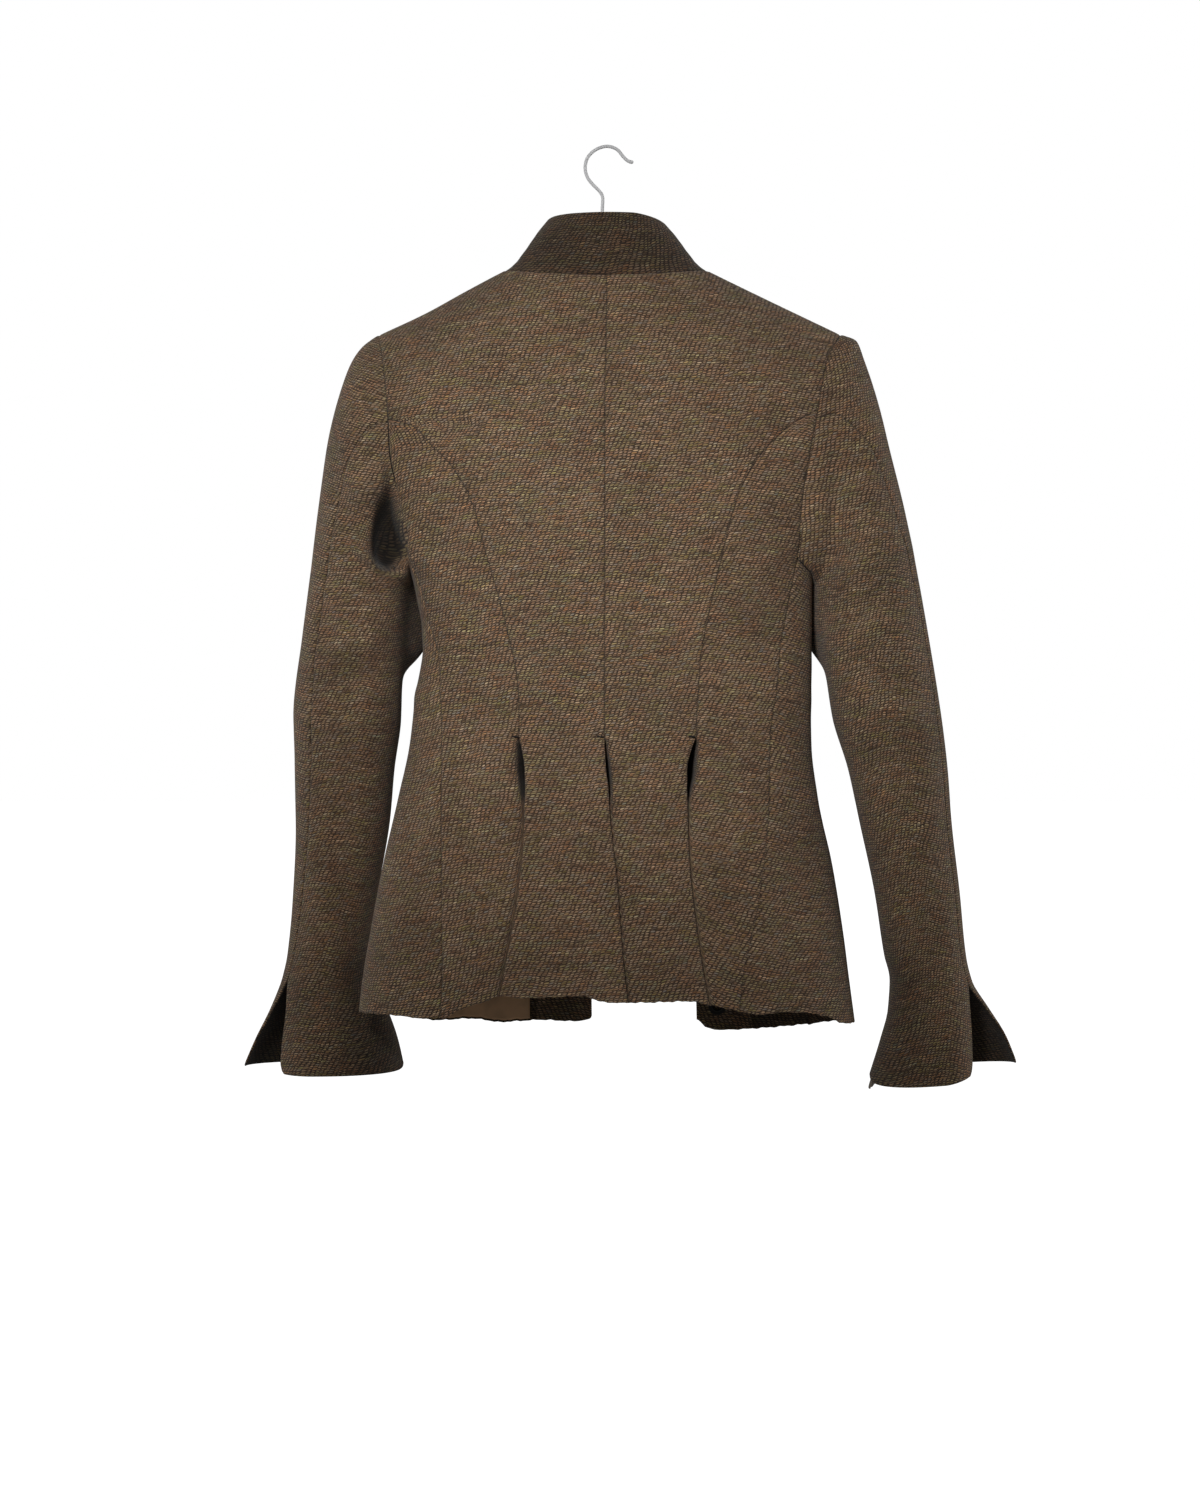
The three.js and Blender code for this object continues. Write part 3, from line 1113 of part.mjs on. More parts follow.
// The bar that fills the shoulders: an oval section that follows the shoulder line from inside.
const BAR_REACH = 180;
const BAR_SHARES = [0, 0.12, 0.3, 0.45, 0.6, 0.75, 0.88, 0.95, 0.985, 1];
const BAR_SECTION = [
  { across: 0, down: 0 },
  { across: 0.7, down: 0.1 },
  { across: 1, down: 0.32 },
  { across: 1, down: 0.7 },
  { across: 0.6, down: 1 },
  { across: -0.6, down: 1 },
  { across: -1, down: 0.7 },
  { across: -1, down: 0.32 },
  { across: -0.7, down: 0.1 },
];
const BAR_END = 0.93; // share of the reach beyond which the bar rounds off
function hangerBar() {
  const points = [];
  const faces = [];
  const places = [...BAR_SHARES.slice(1).reverse().map((f) => -f), ...BAR_SHARES];
  const middle = BAR[0].x;
  const n = BAR_SECTION.length;
  places.forEach((f) => {
    const x = middle + f * (BAR_REACH - middle);
    const line = along(BAR, "x", "z", Math.abs(x - middle) + middle);
    const past = clamp((Math.abs(f) - BAR_END) / (1 - BAR_END), 0, 0.97);
    const full = Math.sqrt(1 - past * past);
    BAR_SECTION.forEach((c) => {
      const drop = BAR_H * ((1 - full) / 2 + c.down * full);
      points.push(new THREE.Vector3(x, BAR_HALF_T * c.across * full, line - drop));
    });
  });
  for (let i = 0; i < places.length - 1; i += 1)
    for (let k = 0; k < n; k += 1) {
      const a = i * n + k;
      const b = i * n + ((k + 1) % n);
      faces.push([a, b, b + n], [a, b + n, a + n]);
    }
  const last = (places.length - 1) * n;
  for (let k = 1; k < n - 1; k += 1) {
    faces.push([0, k + 1, k]);
    faces.push([last, last + k, last + k + 1]);
  }
  return solidFrom(points, faces);
}
add("hanger_bar", hangerBar(), BAR_FINISH);

// ---------- press studs ----------
// Rings that stand on a flat cell of a face, inside the right front and outside the left.
const STUD_SIDES = 14;
const STUD_ROWS_FROM_HEM = [1, 5, 8, 13]; // which row of cells above the hem each stud lies in
const studProfile = [
  { r: STUD_HOLE_R, h: 0 },
  { r: STUD_R, h: 0 },
  { r: STUD_R - 0.8, h: STUD_T },
  { r: STUD_HOLE_R, h: STUD_T },
];
function ringOn(grid, i, j, side) {
  const [a, b, c, d] = [grid[i][j], grid[i][j + 1], grid[i + 1][j + 1], grid[i + 1][j]];
  const centre = a.clone().add(b).add(c).add(d).multiplyScalar(0.25);
  const axis = c.clone().sub(a).cross(d.clone().sub(b)).normalize();
  if (axis.y * side < 0) axis.negate();
  centre.addScaledVector(axis, SEAM);
  const across = new THREE.Vector3(0, 0, 1).cross(axis).normalize();
  const up = axis.clone().cross(across);
  const points = [];
  const faces = [];
  const n = studProfile.length;
  for (let k = 0; k < STUD_SIDES; k += 1) {
    const turn = (2 * Math.PI * k) / STUD_SIDES;
    const out = across.clone().multiplyScalar(Math.cos(turn)).addScaledVector(up, Math.sin(turn));
    studProfile.forEach((s) => {
      points.push(centre.clone().addScaledVector(out, s.r).addScaledVector(axis, s.h));
    });
  }
  for (let k = 0; k < STUD_SIDES; k += 1)
    for (let m = 0; m < n; m += 1) {
      const next = ((k + 1) % STUD_SIDES) * n;
      const p = k * n + m;
      const q = k * n + ((m + 1) % n);
      faces.push([p, q, next + ((m + 1) % n)], [p, next + ((m + 1) % n), next + m]);
    }
  return solidFrom(points, faces);
}
STUD_ROWS_FROM_HEM.forEach((up, k) => {
  const inside = facingRight.inner;
  const outside = frontLeft.outer;
  add(`stud_right_${k + 1}`, ringOn(inside, inside.length - 1 - up, 1, 1), STUD);
  add(`stud_left_${k + 1}`, ringOn(outside, outside.length - 1 - up, leftLast - 2, -1), STUD);
});

export default group;
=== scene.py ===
"""The looks of a fitted tweed jacket that hangs, back to the camera, on a wire-hooked hanger.

Shapes are worked out in millimetres from the jacket's own sizes, in the frame of the CAD model
(+Z up, back to +Y, the wearer's left at +X, origin inside the crown of the hook), and made in metres.
"""
import json
import math

import bpy
import mathutils
import numpy as np
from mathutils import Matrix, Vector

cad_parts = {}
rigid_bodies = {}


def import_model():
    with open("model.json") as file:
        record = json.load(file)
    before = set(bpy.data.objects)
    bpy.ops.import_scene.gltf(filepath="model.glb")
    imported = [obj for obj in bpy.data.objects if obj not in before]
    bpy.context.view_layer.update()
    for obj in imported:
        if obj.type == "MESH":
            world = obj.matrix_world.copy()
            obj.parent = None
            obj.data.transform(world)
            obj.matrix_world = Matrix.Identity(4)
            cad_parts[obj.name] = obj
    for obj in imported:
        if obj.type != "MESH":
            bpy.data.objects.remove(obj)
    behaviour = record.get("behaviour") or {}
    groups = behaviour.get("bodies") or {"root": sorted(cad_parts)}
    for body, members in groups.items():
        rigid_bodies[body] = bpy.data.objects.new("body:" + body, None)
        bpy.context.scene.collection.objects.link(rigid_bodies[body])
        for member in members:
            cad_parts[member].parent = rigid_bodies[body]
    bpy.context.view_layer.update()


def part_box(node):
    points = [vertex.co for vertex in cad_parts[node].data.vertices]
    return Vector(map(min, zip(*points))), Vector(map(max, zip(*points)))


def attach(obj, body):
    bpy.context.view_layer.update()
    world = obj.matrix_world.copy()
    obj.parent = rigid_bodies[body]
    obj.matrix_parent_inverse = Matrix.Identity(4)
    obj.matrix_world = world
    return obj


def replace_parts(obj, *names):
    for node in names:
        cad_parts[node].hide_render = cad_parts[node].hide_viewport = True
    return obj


for leftover in list(bpy.data.objects):
    bpy.data.objects.remove(leftover)
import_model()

# ---------- driving sizes, mm ----------
MM = 0.001
CLOTH = 2.0  # tweed wall
LINING = 1.0
FACING_T = 1.2
SEAM = 0.3  # room between cloth and what lies on it
LAP = 0.3  # how far two pieces run into each other where they are sewn
ROUND = 2.5  # exponent of the body's cross-section
SHOULDER_ROLL = 72  # depth below the shoulder line at which the body is full
PRINCESS_TOP = {"left": -233, "right": -225}
SIDE_BACK_Z = -349
UNDERARM_Z = -360
PLEAT_Z = -498
FOLD_R = 2.3  # outer radius of a pleat's fold
FACING_W = 48
NECK_X = 86
STEP = 4.0  # usual spacing of a grid's points
SEAM_DEPTH = 1.5  # how far the cloth rolls down into a seam
SEAM_REACH = 1.0
RIM_R = 1.0  # rounding of a free edge
FAR_OFF = 8.0  # beyond this a seam doesn't darken the cloth with its thread and the painted shade of its groove


def table(names, *rows):
    return {name: np.array([row[k] for row in rows], float) for k, name in enumerate(names.split())}


# ---------- tables, mm ----------
BODY = table(
    "z left right back front",
    (-60, 232, -236, 34, 44),
    (-110, 232, -236, 42, 52),
    (-158, 228, -232, 56, 62),
    (-200, 222, -224, 66, 72),
    (-250, 212, -212, 71, 78),
    (-300, 195, -195, 71, 80),
    (-335, 178, -183, 69, 79),
    (-360, 164.5, -174.5, 67, 77),
    (-382, 159.7, -174, 65, 75),
    (-405, 155.8, -174, 62, 72),
    (-430, 156.5, -174, 60, 69),
    (-472, 162, -173, 59, 66),
    (-505, 166, -173.5, 62, 66),
    (-546, 175, -178.5, 69, 67),
    (-602, 187.6, -190.5, 78, 69),
    (-667, 199.8, -200.8, 86, 71),
    (-700, 205.3, -205, 89, 72),
    (-760, 212, -213, 93, 73),
)
SHOULDER = table(
    "x z",
    (-198.6, -157.5), (-150.4, -134.6), (-111.5, -115.8), (-86, -103.3), (0, -62), (86, -103.3),
    (119, -120.8), (152, -139), (192.7, -158),
)
NECK_BACK = table(
    "x z",
    (-86, -103.3), (-45, -108.7), (0, -111), (55, -108), (86, -103.3),
)
NECK_FRONT = table(
    "x z",
    (-86, -103.3), (-84, -118), (-78, -137), (-68, -153), (-55, -166), (-47, -172), (0, -182),
    (26, -180), (40, -176), (55, -167), (68, -154), (78, -137), (84, -118), (86, -103.3),
)
ARMHOLE = table(
    "z backL backR frontL frontR",
    (-158, 192.7, -198.6, 192.7, -198.6),
    (-180, 188, -186, 183, -184),
    (-206, 184.5, -180.5, 172, -171),
    (-233, 182.3, -175.5, 164, -162),
    (-260, 181, -170.5, 160, -158),
    (-285, 176.5, -166, 158.5, -157),
    (-312, 171, -163, 158, -158),
    (-330, 165.5, -160.5, 157.5, -160),
    (-349, 164, -160.5, 157, -163),
)
CENTRE_BACK = table(
    "z x",
    (-60, -0.8), (-114, -0.8), (-219, 0.9), (-498, 1.3),
)
PRINCESS_L = table(
    "z x",
    (-233, 182.3), (-239, 161), (-254, 147.2), (-272, 129.5), (-300, 112.9), (-350, 98.6),
    (-393, 86.4), (-421, 79.8), (-450, 74), (-470, 72.6), (-498, 72.3),
)
PRINCESS_R = table(
    "z x",
    (-225, -177.4), (-238, -154.5), (-264, -128.5), (-285, -115.2), (-306, -106.9), (-339, -98.6),
    (-401, -84.5), (-429, -79.6), (-467, -76.3), (-498, -75),
)
SIDE_BACK = table(
    "z left right",
    (-349, 164, -160.5),
    (-372, 156.6, -156),
    (-396, 150.4, -151),
    (-457, 138.6, -142.5),
    (-492, 137.8, -138),
    (-567, 137.6, -134),
    (-600, 137.2, -130.6),
    (-646, 137, -123.6),
    (-683, 137, -115.2),
    (-722, 137.4, -110.4),
    (-760, 138, -107),
)
SIDE_FRONT = table(
    "z left right",
    (-349, 157, -163),
    (-380, 146, -157),
    (-430, 136, -150),
    (-500, 138, -149),
    (-600, 152, -160),
    (-760, 168, -176),
)
FRONT_EDGE = table(
    "z left right",
    (-60, 27, -46),
    (-180, 26, -48),
    (-350, 20, -62),
    (-500, 15, -72),
    (-760, 12, -79),
)
# Each pleat's fold, how wide it stands open there, how far the cloth beside it dives below, and the
# width of cloth that is folded under.
PLEATS = table(
    "z under fold_left slit_left dive_left fold_centre slit_centre dive_centre"
    " fold_right slit_right dive_right",
    (-498, 2, 72.3, 0.6, 5.4, 1.3, 0.6, 5.4, -75, 0.6, 5.4),
    (-508, 7, 70.2, 2.2, 7.5, 1.0, 1.2, 6, -71, 3.4, 7.5),
    (-524, 11, 67.8, 4.2, 9.5, 0, 1.9, 7, -67.4, 6.4, 9.5),
    (-540, 13, 67.4, 2.6, 7.5, -2, 1.2, 6, -67.2, 2.8, 7.5),
    (-556, 15, 67.9, 0.3, 5.2, -2.9, 0.2, 5.2, -67.6, 0.3, 5.2),
    (-586, 16, 68.6, 0, 5.2, -5.6, 0, 5.2, -68.3, 0, 5.2),
    (-612, 17, 71, 0, 5.2, -8.8, 0, 5.2, -70, 0, 5.2),
    (-646, 18, 75.9, 0, 5.2, -11.4, 0, 5.2, -73.8, 0, 5.2),
    (-680, 18, 82, 0, 5.2, -14, 0, 5.2, -78.6, 0, 5.2),
    (-760, 18, 97, 0, 5.2, -24, 0, 5.2, -93, 0, 5.2),
)
HEM_BACK = table(
    "x z",
    (-215, -738), (-198, -737), (-188, -732), (-173, -727.5), (-152, -725.5), (-124, -727),
    (-99, -721.5), (-82, -718), (-69, -715.5), (-28, -716.5), (-2, -716.5), (21, -711.2),
    (72, -713), (87, -711), (96, -714.6), (120, -722.5), (137, -730.3), (157, -730.5),
    (176, -728.8), (215, -728.5),
)
HEM_FRONT = table(
    "x z",
    (-215, -738), (-196, -739.4), (-172, -743.7), (-130, -748.3), (-99, -750), (-88, -749),
    (-84, -745.5), (-78, -741), (0, -741), (11.5, -736.5), (13, -739.8), (17, -742), (30, -742.8),
    (55, -741.6), (76, -742.6), (92, -743.4), (104, -741.4), (118, -740), (143, -741), (180, -735),
    (215, -728.5),
)
COLLAR = table(
    "way x y z swell",
    (0, 21, -60, -122, 0),
    (0.12, 40, -40, -100, 1),
    (0.22, 49.5, -16, -76, 2),
    (0.29, 49.5, 2, -62.5, 2),
    (0.35, 43, 18, -59.6, 2),
    (0.42, 25, 31, -58.8, 1),
    (0.5, 1, 36, -58.6, 0),
    (0.58, -21, 32, -58.4, 1),
    (0.65, -41, 20, -61.5, 2),
    (0.71, -51, 4, -66.5, 2),
    (0.78, -54, -15, -77, 2),
    (0.88, -49, -39, -100, 1),
    (1, -41, -60, -122, 0),
)
SLEEVE_L = table(
    "s ox oz ix iz y half seam",
    (0, 193, -158, 165.2, -360, 0, 50, 76),
    (0.03, 206, -168, 165.9, -363, 0, 50, 73),
    (0.06, 215, -181, 166.6, -366, 0, 50, 70),
    (0.11, 224.5, -207, 167.6, -371, -1, 50, 66),
    (0.19, 235, -248, 168.9, -377, -3, 50, 60),
    (0.28, 243.7, -307, 170, -385, -6, 49.5, 55),
    (0.37, 250.5, -360, 171.4, -400, -10, 49, 52),
    (0.46, 258, -414, 172.8, -430, -17, 48.5, 50),
    (0.56, 266.2, -480, 174.6, -482, -29, 48, 53),
    (0.63, 266, -525, 180.8, -525, -40, 47, 52),
    (0.7, 265.8, -569, 185.2, -569, -50, 46, 50),
    (0.8, 269, -630, 196, -630, -62, 44, 45),
    (0.9, 274.6, -684, 203.4, -684, -71, 43, 38),
    (0.935, 279.3, -705, 202.3, -705, -74, 43, 34),
    (0.96, 290, -732, 188, -735, -77, 45, 34),
    (0.98, 303, -758, 180, -758, -79, 48, 33),
    (1, 313.5, -782, 174.8, -781, -81, 50, 32),
)
SLEEVE_R = table(
    "s ox oz ix iz y half seam",
    (0, 199, -158, 175.2, -360, 0, 50, 74),
    (0.03, 211.5, -163, 175.9, -363, 0, 50, 70),
    (0.06, 218.5, -180, 176.6, -366, 0, 50, 66),
    (0.11, 227.5, -208, 177.4, -369, 0, 50, 60),
    (0.19, 238, -250, 178, -373, 1, 50, 50),
    (0.28, 252, -307, 178.5, -381, 3, 50, 40),
    (0.37, 262.6, -360, 179.2, -399, 4, 49.5, 31),
    (0.46, 272, -413, 183.4, -426, 4, 49, 26),
    (0.56, 283, -480, 191, -480, 1, 48, 28),
    (0.63, 289, -525, 205, -525, -6, 47, 30),
    (0.7, 292.8, -569, 214.9, -569, -12, 46, 32),
    (0.8, 300.8, -630, 228.6, -630, -23, 44, 33),
    (0.9, 307, -684, 237.6, -684, -32, 43, 33),
    (0.935, 312.5, -706, 242.3, -706, -34, 43, 32),
    (0.96, 327, -729, 240.8, -731, -36, 45, 32),
    (0.98, 341, -751, 234.5, -756, -38, 48, 32),
    (1, 351.5, -776, 224.9, -787, -39, 50, 32),
)
VENT = table(
    "s underL underR upperL upperR dropL dropR",
    (0.935, 279.3, 312.5, 34, 32, 0, 0),
    (0.96, 282, 313.5, 18, 18, 2, 3),
    (0.98, 284.5, 314.5, 9, 9, 4, 7),
    (1, 286, 315, 4, 4, 6, 10),
)
HOOK = table(
    "x z",
    (-23.2, -12.3), (-18.6, -11), (-14.8, -7.6), (-9.3, -1.3), (-1.2, 1.4), (8, -1.1), (15.4, -8),
    (17.6, -17), (15.6, -25), (11.4, -30.6), (5, -37.2), (3, -41), (3.1, -52.8), (3.1, -79.6),
)
BAR = table(
    "x z",
    (3, -80), (30, -90), (55, -101), (70, -108), (80, -110), (92, -111.5), (120, -124.3),
    (152, -142), (180, -155.4),
)


# ---------- creases, mm: centre (x, z), run (dx, dz), width, height, side ----------
# Soft ridges (+) and troughs (-) of the cloth, on the back (side 1) or the front (-1).
BODY_CREASES = [
    (120, -190, 60, -38, 16, 2.2, 1),
    (-118, -196, -58, -44, 17, 2.4, 1),
    (62, -300, 24, 90, 20, -1.6, 1),
    (-58, -310, -22, 96, 22, -1.8, 1),
    (150, -352, 46, 30, 10, 2.4, 1),
    (-146, -340, -44, 34, 11, 2.2, 1),
    (118, -430, 80, 10, 11, -1.5, 1),
    (-108, -424, -86, 14, 12, -1.7, 1),
    (130, -462, 66, -6, 9, 1.6, 1),
    (-128, -458, -70, -10, 10, 1.8, 1),
    (40, -452, 58, 5, 12, 1.1, 1),
    (-36, -440, -50, 7, 11, -1.0, 1),
    (92, -560, 12, 120, 18, 2.0, 1),
    (40, -640, 8, 150, 22, -1.8, 1),
    (-50, -620, -10, 150, 20, 1.7, 1),
    (-128, -600, -20, 130, 17, 2.0, 1),
    (150, -640, 26, 140, 15, -2.2, 1),
    (-158, -650, -24, 120, 14, -2.0, 1),
    (110, -300, 30, 120, 18, 2.0, -1),
    (-110, -320, -34, 110, 18, 2.0, -1),
    (120, -440, 70, 12, 13, -1.6, -1),
    (-118, -436, -66, 14, 13, -1.6, -1),
    (100, -600, 14, 160, 20, 2.2, -1),
    (-96, -610, -16, 150, 20, -2.0, -1),
]
# On the sleeves x grows outward from the body's middle.
SLEEVE_CREASES = {
    "left": [
        (216, -250, 14, 80, 11, 2.4),
        (193, -287, 18, -26, 13, 4.2),
        (222, -300, 22, 50, 12, -3.0),
        (187, -356, 46, 22, 6.5, 7.0),
        (208, -348, 20, 16, 4.5, -4.5),
        (216, -372, 50, 24, 8, -3.6),
        (236, -404, 8, 34, 10, -3.4),
        (214, -425, 46, -16, 9, 2.4),
        (224, -452, 60, -12, 9, -2.6),
        (232, -486, 56, 4, 8, 2.2),
        (236, -520, 60, 16, 10, -2.2),
        (248, -600, 26, 90, 15, 2.2),
        (222, -640, 18, 110, 13, -2.2),
        (240, -716, 40, 22, 9, 1.8),
        (212, -742, 16, 50, 12, 1.8),
    ],
    "right": [
        (222, -266, 22, 84, 12, 3.0),
        (206, -300, 12, 90, 9, -3.0),
        (226, -352, 56, 22, 10, 3.0),
        (222, -384, 50, 20, 8, -3.0),
        (216, -412, 56, 14, 10, 3.0),
        (224, -446, 42, -24, 7, -3.2),
        (232, -474, 56, -16, 9, 2.4),
        (240, -520, 58, 10, 10, -2.0),
        (262, -600, 24, 100, 15, 2.0),
        (238, -660, 16, 110, 12, -2.2),
        (272, -724, 44, 18, 10, 1.8),
        (262, -750, 14, 50, 12, -1.6),
    ],
}
SLEEVE_HOLLOWS = {
    "left": [(196, -330, 12, 40, 8, -4)],
    "right": [(190, -330, 8, 120, 9, -8)],
}
# A pocket pushed into the cloth: centre (x, z), half sizes, lean and depth.
SLEEVE_PITS = {"left": (177, -322, 15, 34, -0.12, 26), "right": None}
# Painted shade in the depth of that pocket: how dark it is at its deepest.
PIT_PAINTED_SHADE = 0.9
# Painted shade of the slack cloth between each sleeve and the body.
SLACK_PAINTED_SHADE = {"left": 0.75, "right": 0.5}
# Painted shade on the side of each cuff that turns away towards the body.
CUFF_PAINTED_SHADE = {"left": 0.6, "right": 0.3}
# Slack cloth of the sleeve's front half that fills the way up to the body below the armhole.
SLACK = {"left": (-398, 42, 30), "right": (-396, 42, 22)}
SLEEVE_FRONT_CREASES = {
    "left": [
        (210, -300, 18, 80, 12, -3.0),
        (218, -372, 56, 20, 10, 3.2),
        (222, -408, 60, 8, 9, -3.4),
        (226, -440, 60, -6, 10, 3.2),
        (232, -486, 56, 8, 9, -2.6),
        (244, -620, 20, 110, 15, 2.2),
    ],
    "right": [
        (214, -310, 18, 84, 12, -3.0),
        (220, -366, 52, 22, 10, 3.0),
        (226, -402, 58, 10, 9, -3.2),
        (230, -438, 58, -8, 10, 3.4),
        (238, -480, 56, 6, 9, -2.8),
        (256, -620, 20, 110, 15, 2.0),
    ],
}
SLEEVE_GRAIN = {
    "left": {"under": -0.1, "upper": 0.08},
    "right": {"under": 0.1, "upper": -0.08},
}
COLLAR_SWELL = 1.6
CREASE_GAIN = 1.5


# ---------- working functions ----------
def along(rows, column, at):
    """Value of a column at places in the first column, by a smooth curve through the rows."""
    xs, ys = next(iter(rows.values())), rows[column]
    if xs[0] > xs[-1]:
        xs, ys = xs[::-1], ys[::-1]
    at = np.clip(np.asarray(at, float), xs[0], xs[-1])
    gap = np.diff(xs)
    slope = np.diff(ys) / gap
    before, after = slope[:-1], slope[1:]
    turns = before * after <= 0
    inner = np.where(turns, 0, 2 * before * after / np.where(turns, 1, before + after))
    tangent = np.concatenate(([slope[0]], inner, [slope[-1]]))
    i = np.clip(np.searchsorted(xs, at, side="right") - 1, 0, len(gap) - 1)
    h = gap[i]
    f = (at - xs[i]) / h
    f2, f3 = f * f, f**3
    return (
        ys[i] * (2 * f3 - 3 * f2 + 1)
        + tangent[i] * h * (f3 - 2 * f2 + f)
        + ys[i + 1] * (3 * f2 - 2 * f3)
        + tangent[i + 1] * h * (f3 - f2)
    )


def mix(a, b, f):
    return a + (b - a) * f


def smooth(f):
    f = np.clip(f, 0, 1)
    return f * f * (3 - 2 * f)


def unit(v):
    return v / np.maximum(np.linalg.norm(v, axis=-1, keepdims=True), 1e-9)


def power(v, exponent):
    return np.sign(v) * np.abs(v) ** exponent


def shoulder_z(x):
    return along(SHOULDER, "z", x)


def fullness(depth):
    f = np.minimum(np.abs(depth) / SHOULDER_ROLL, 1)
    return np.sign(depth) * np.sqrt(1 - (1 - f) ** 2)


def skin(angle, z):
    """The body's outer face: angle 0 is the left side, 90 degrees the back, 180 the right side."""
    angle, z = np.broadcast_arrays(np.asarray(angle, float), np.asarray(z, float))
    left, right = along(BODY, "left", z), along(BODY, "right", z)
    c, s = np.cos(angle), np.sin(angle)
    x = (left + right) / 2 + (left - right) / 2 * power(c, 2 / ROUND)
    depth = np.where(s > 0, along(BODY, "back", z), -along(BODY, "front", z))
    y = depth * np.abs(s) ** (2 / ROUND) * fullness(shoulder_z(x) - z)
    return np.stack([x, y, z], -1)


def angle_at(x, z, side):
    left, right = along(BODY, "left", z), along(BODY, "right", z)
    u = np.clip((x - (left + right) / 2) / ((left - right) / 2), -1, 1)
    return side * np.arccos(power(u, ROUND / 2))


def skin_normal(angle, z):
    step_a, step_z = 0.004, 0.4
    du = skin(angle + step_a, z) - skin(angle - step_a, z)
    dv = skin(angle, z + step_z) - skin(angle, z - step_z)
    n = unit(np.cross(du, dv))
    out = skin(angle, z) - skin(angle + np.pi, z)
    out[..., 2] = 0.3 * np.linalg.norm(out, axis=-1)
    return n * np.where((n * out).sum(-1) < 0, -1, 1)[..., None]


def placed(x, z, side, sunk):
    """A point of the body's cloth at x, sunk below the outer face, behind (1) or in front (-1)."""
    angle = angle_at(x, z, side)
    p = skin(angle, z)
    p = p - skin_normal(angle, z) * np.asarray(sunk)[..., None]
    p[..., 1] = side * np.maximum(side * p[..., 1], -LAP / 2)
    return p


def hem_at(x, y):
    f = smooth((y + 30) / 60)
    return mix(along(HEM_FRONT, "z", x), along(HEM_BACK, "z", x), f)


def creases(rows, x, z, side=None):
    """Height of a list of creases at a point. Each fades out at its two ends and its flanks."""
    rise = np.zeros_like(x)
    for cx, cz, dx, dz, width, height, *where in rows:
        if where and side is not None and where[0] != side:
            continue
        length = math.hypot(dx, dz)
        px, pz = x - cx, z - cz
        t = (px * dx + pz * dz) / length
        bend = 0.12 * length * (t / length) ** 2
        off = (px * dz - pz * dx) / length + bend
        ends = np.maximum(0, np.abs(t) - 0.3 * length)
        rise += height * np.exp(-((off / width) ** 2)) * np.exp(-((ends / (0.35 * length)) ** 2))
    return rise


def groove(kind, d):
    """How far the outer face sinks at a distance from an edge of a kind."""
    if kind == "free":
        return RIM_R - np.sqrt(np.clip(RIM_R**2 - np.clip(RIM_R - d, 0, RIM_R) ** 2, 0, None))
    return SEAM_DEPTH * np.exp(-d / SEAM_REACH)


# ---------- meshes ----------
def mesh_piece(name, points, faces, slot, look=None, uv=None, backs=None, seam=None, shade=None):
    """A mesh in metres from points in mm, turned to face out, with a real-size UV map. A second
    map holds each point's distance from the nearest seam and the painted shade of its cloth."""
    points = np.asarray(points, float)
    tris = np.array([(f[0], f[k], f[k + 1]) for f in faces for k in range(1, len(f) - 1)])
    a, b, c = points[tris[:, 0]], points[tris[:, 1]], points[tris[:, 2]]
    if (a * np.cross(b, c)).sum() < 0:
        faces = [f[::-1] for f in faces]
    mesh = bpy.data.meshes.new(name)
    mesh.from_pydata((points * MM).tolist(), [], faces)
    if uv is not None:
        corner = np.empty(len(mesh.loops), np.int32)
        mesh.loops.foreach_get("vertex_index", corner)
        far = np.full(len(points), FAR_OFF) if seam is None else np.minimum(seam, FAR_OFF)
        shade = np.ones(len(points)) if shade is None else shade
        maps = {"cloth": np.asarray(uv, float) * MM, "seam": np.stack([far / FAR_OFF, shade], -1)}
        for key, places in maps.items():
            mesh.uv_layers.new(name=key).data.foreach_set("uv", places[corner].ravel())
    mesh.polygons.foreach_set("use_smooth", [True] * len(mesh.polygons))
    mesh.materials.append(looks[look or slot])
    if backs is not None:
        mesh.materials.append(looks["inside"])
        index = np.zeros(len(mesh.polygons), np.int32)
        index[backs[0] : backs[1]] = 1
        mesh.polygons.foreach_set("material_index", index)
    piece = bpy.data.objects.new(name, mesh)
    bpy.context.scene.collection.objects.link(piece)
    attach(piece, "root")
    return piece


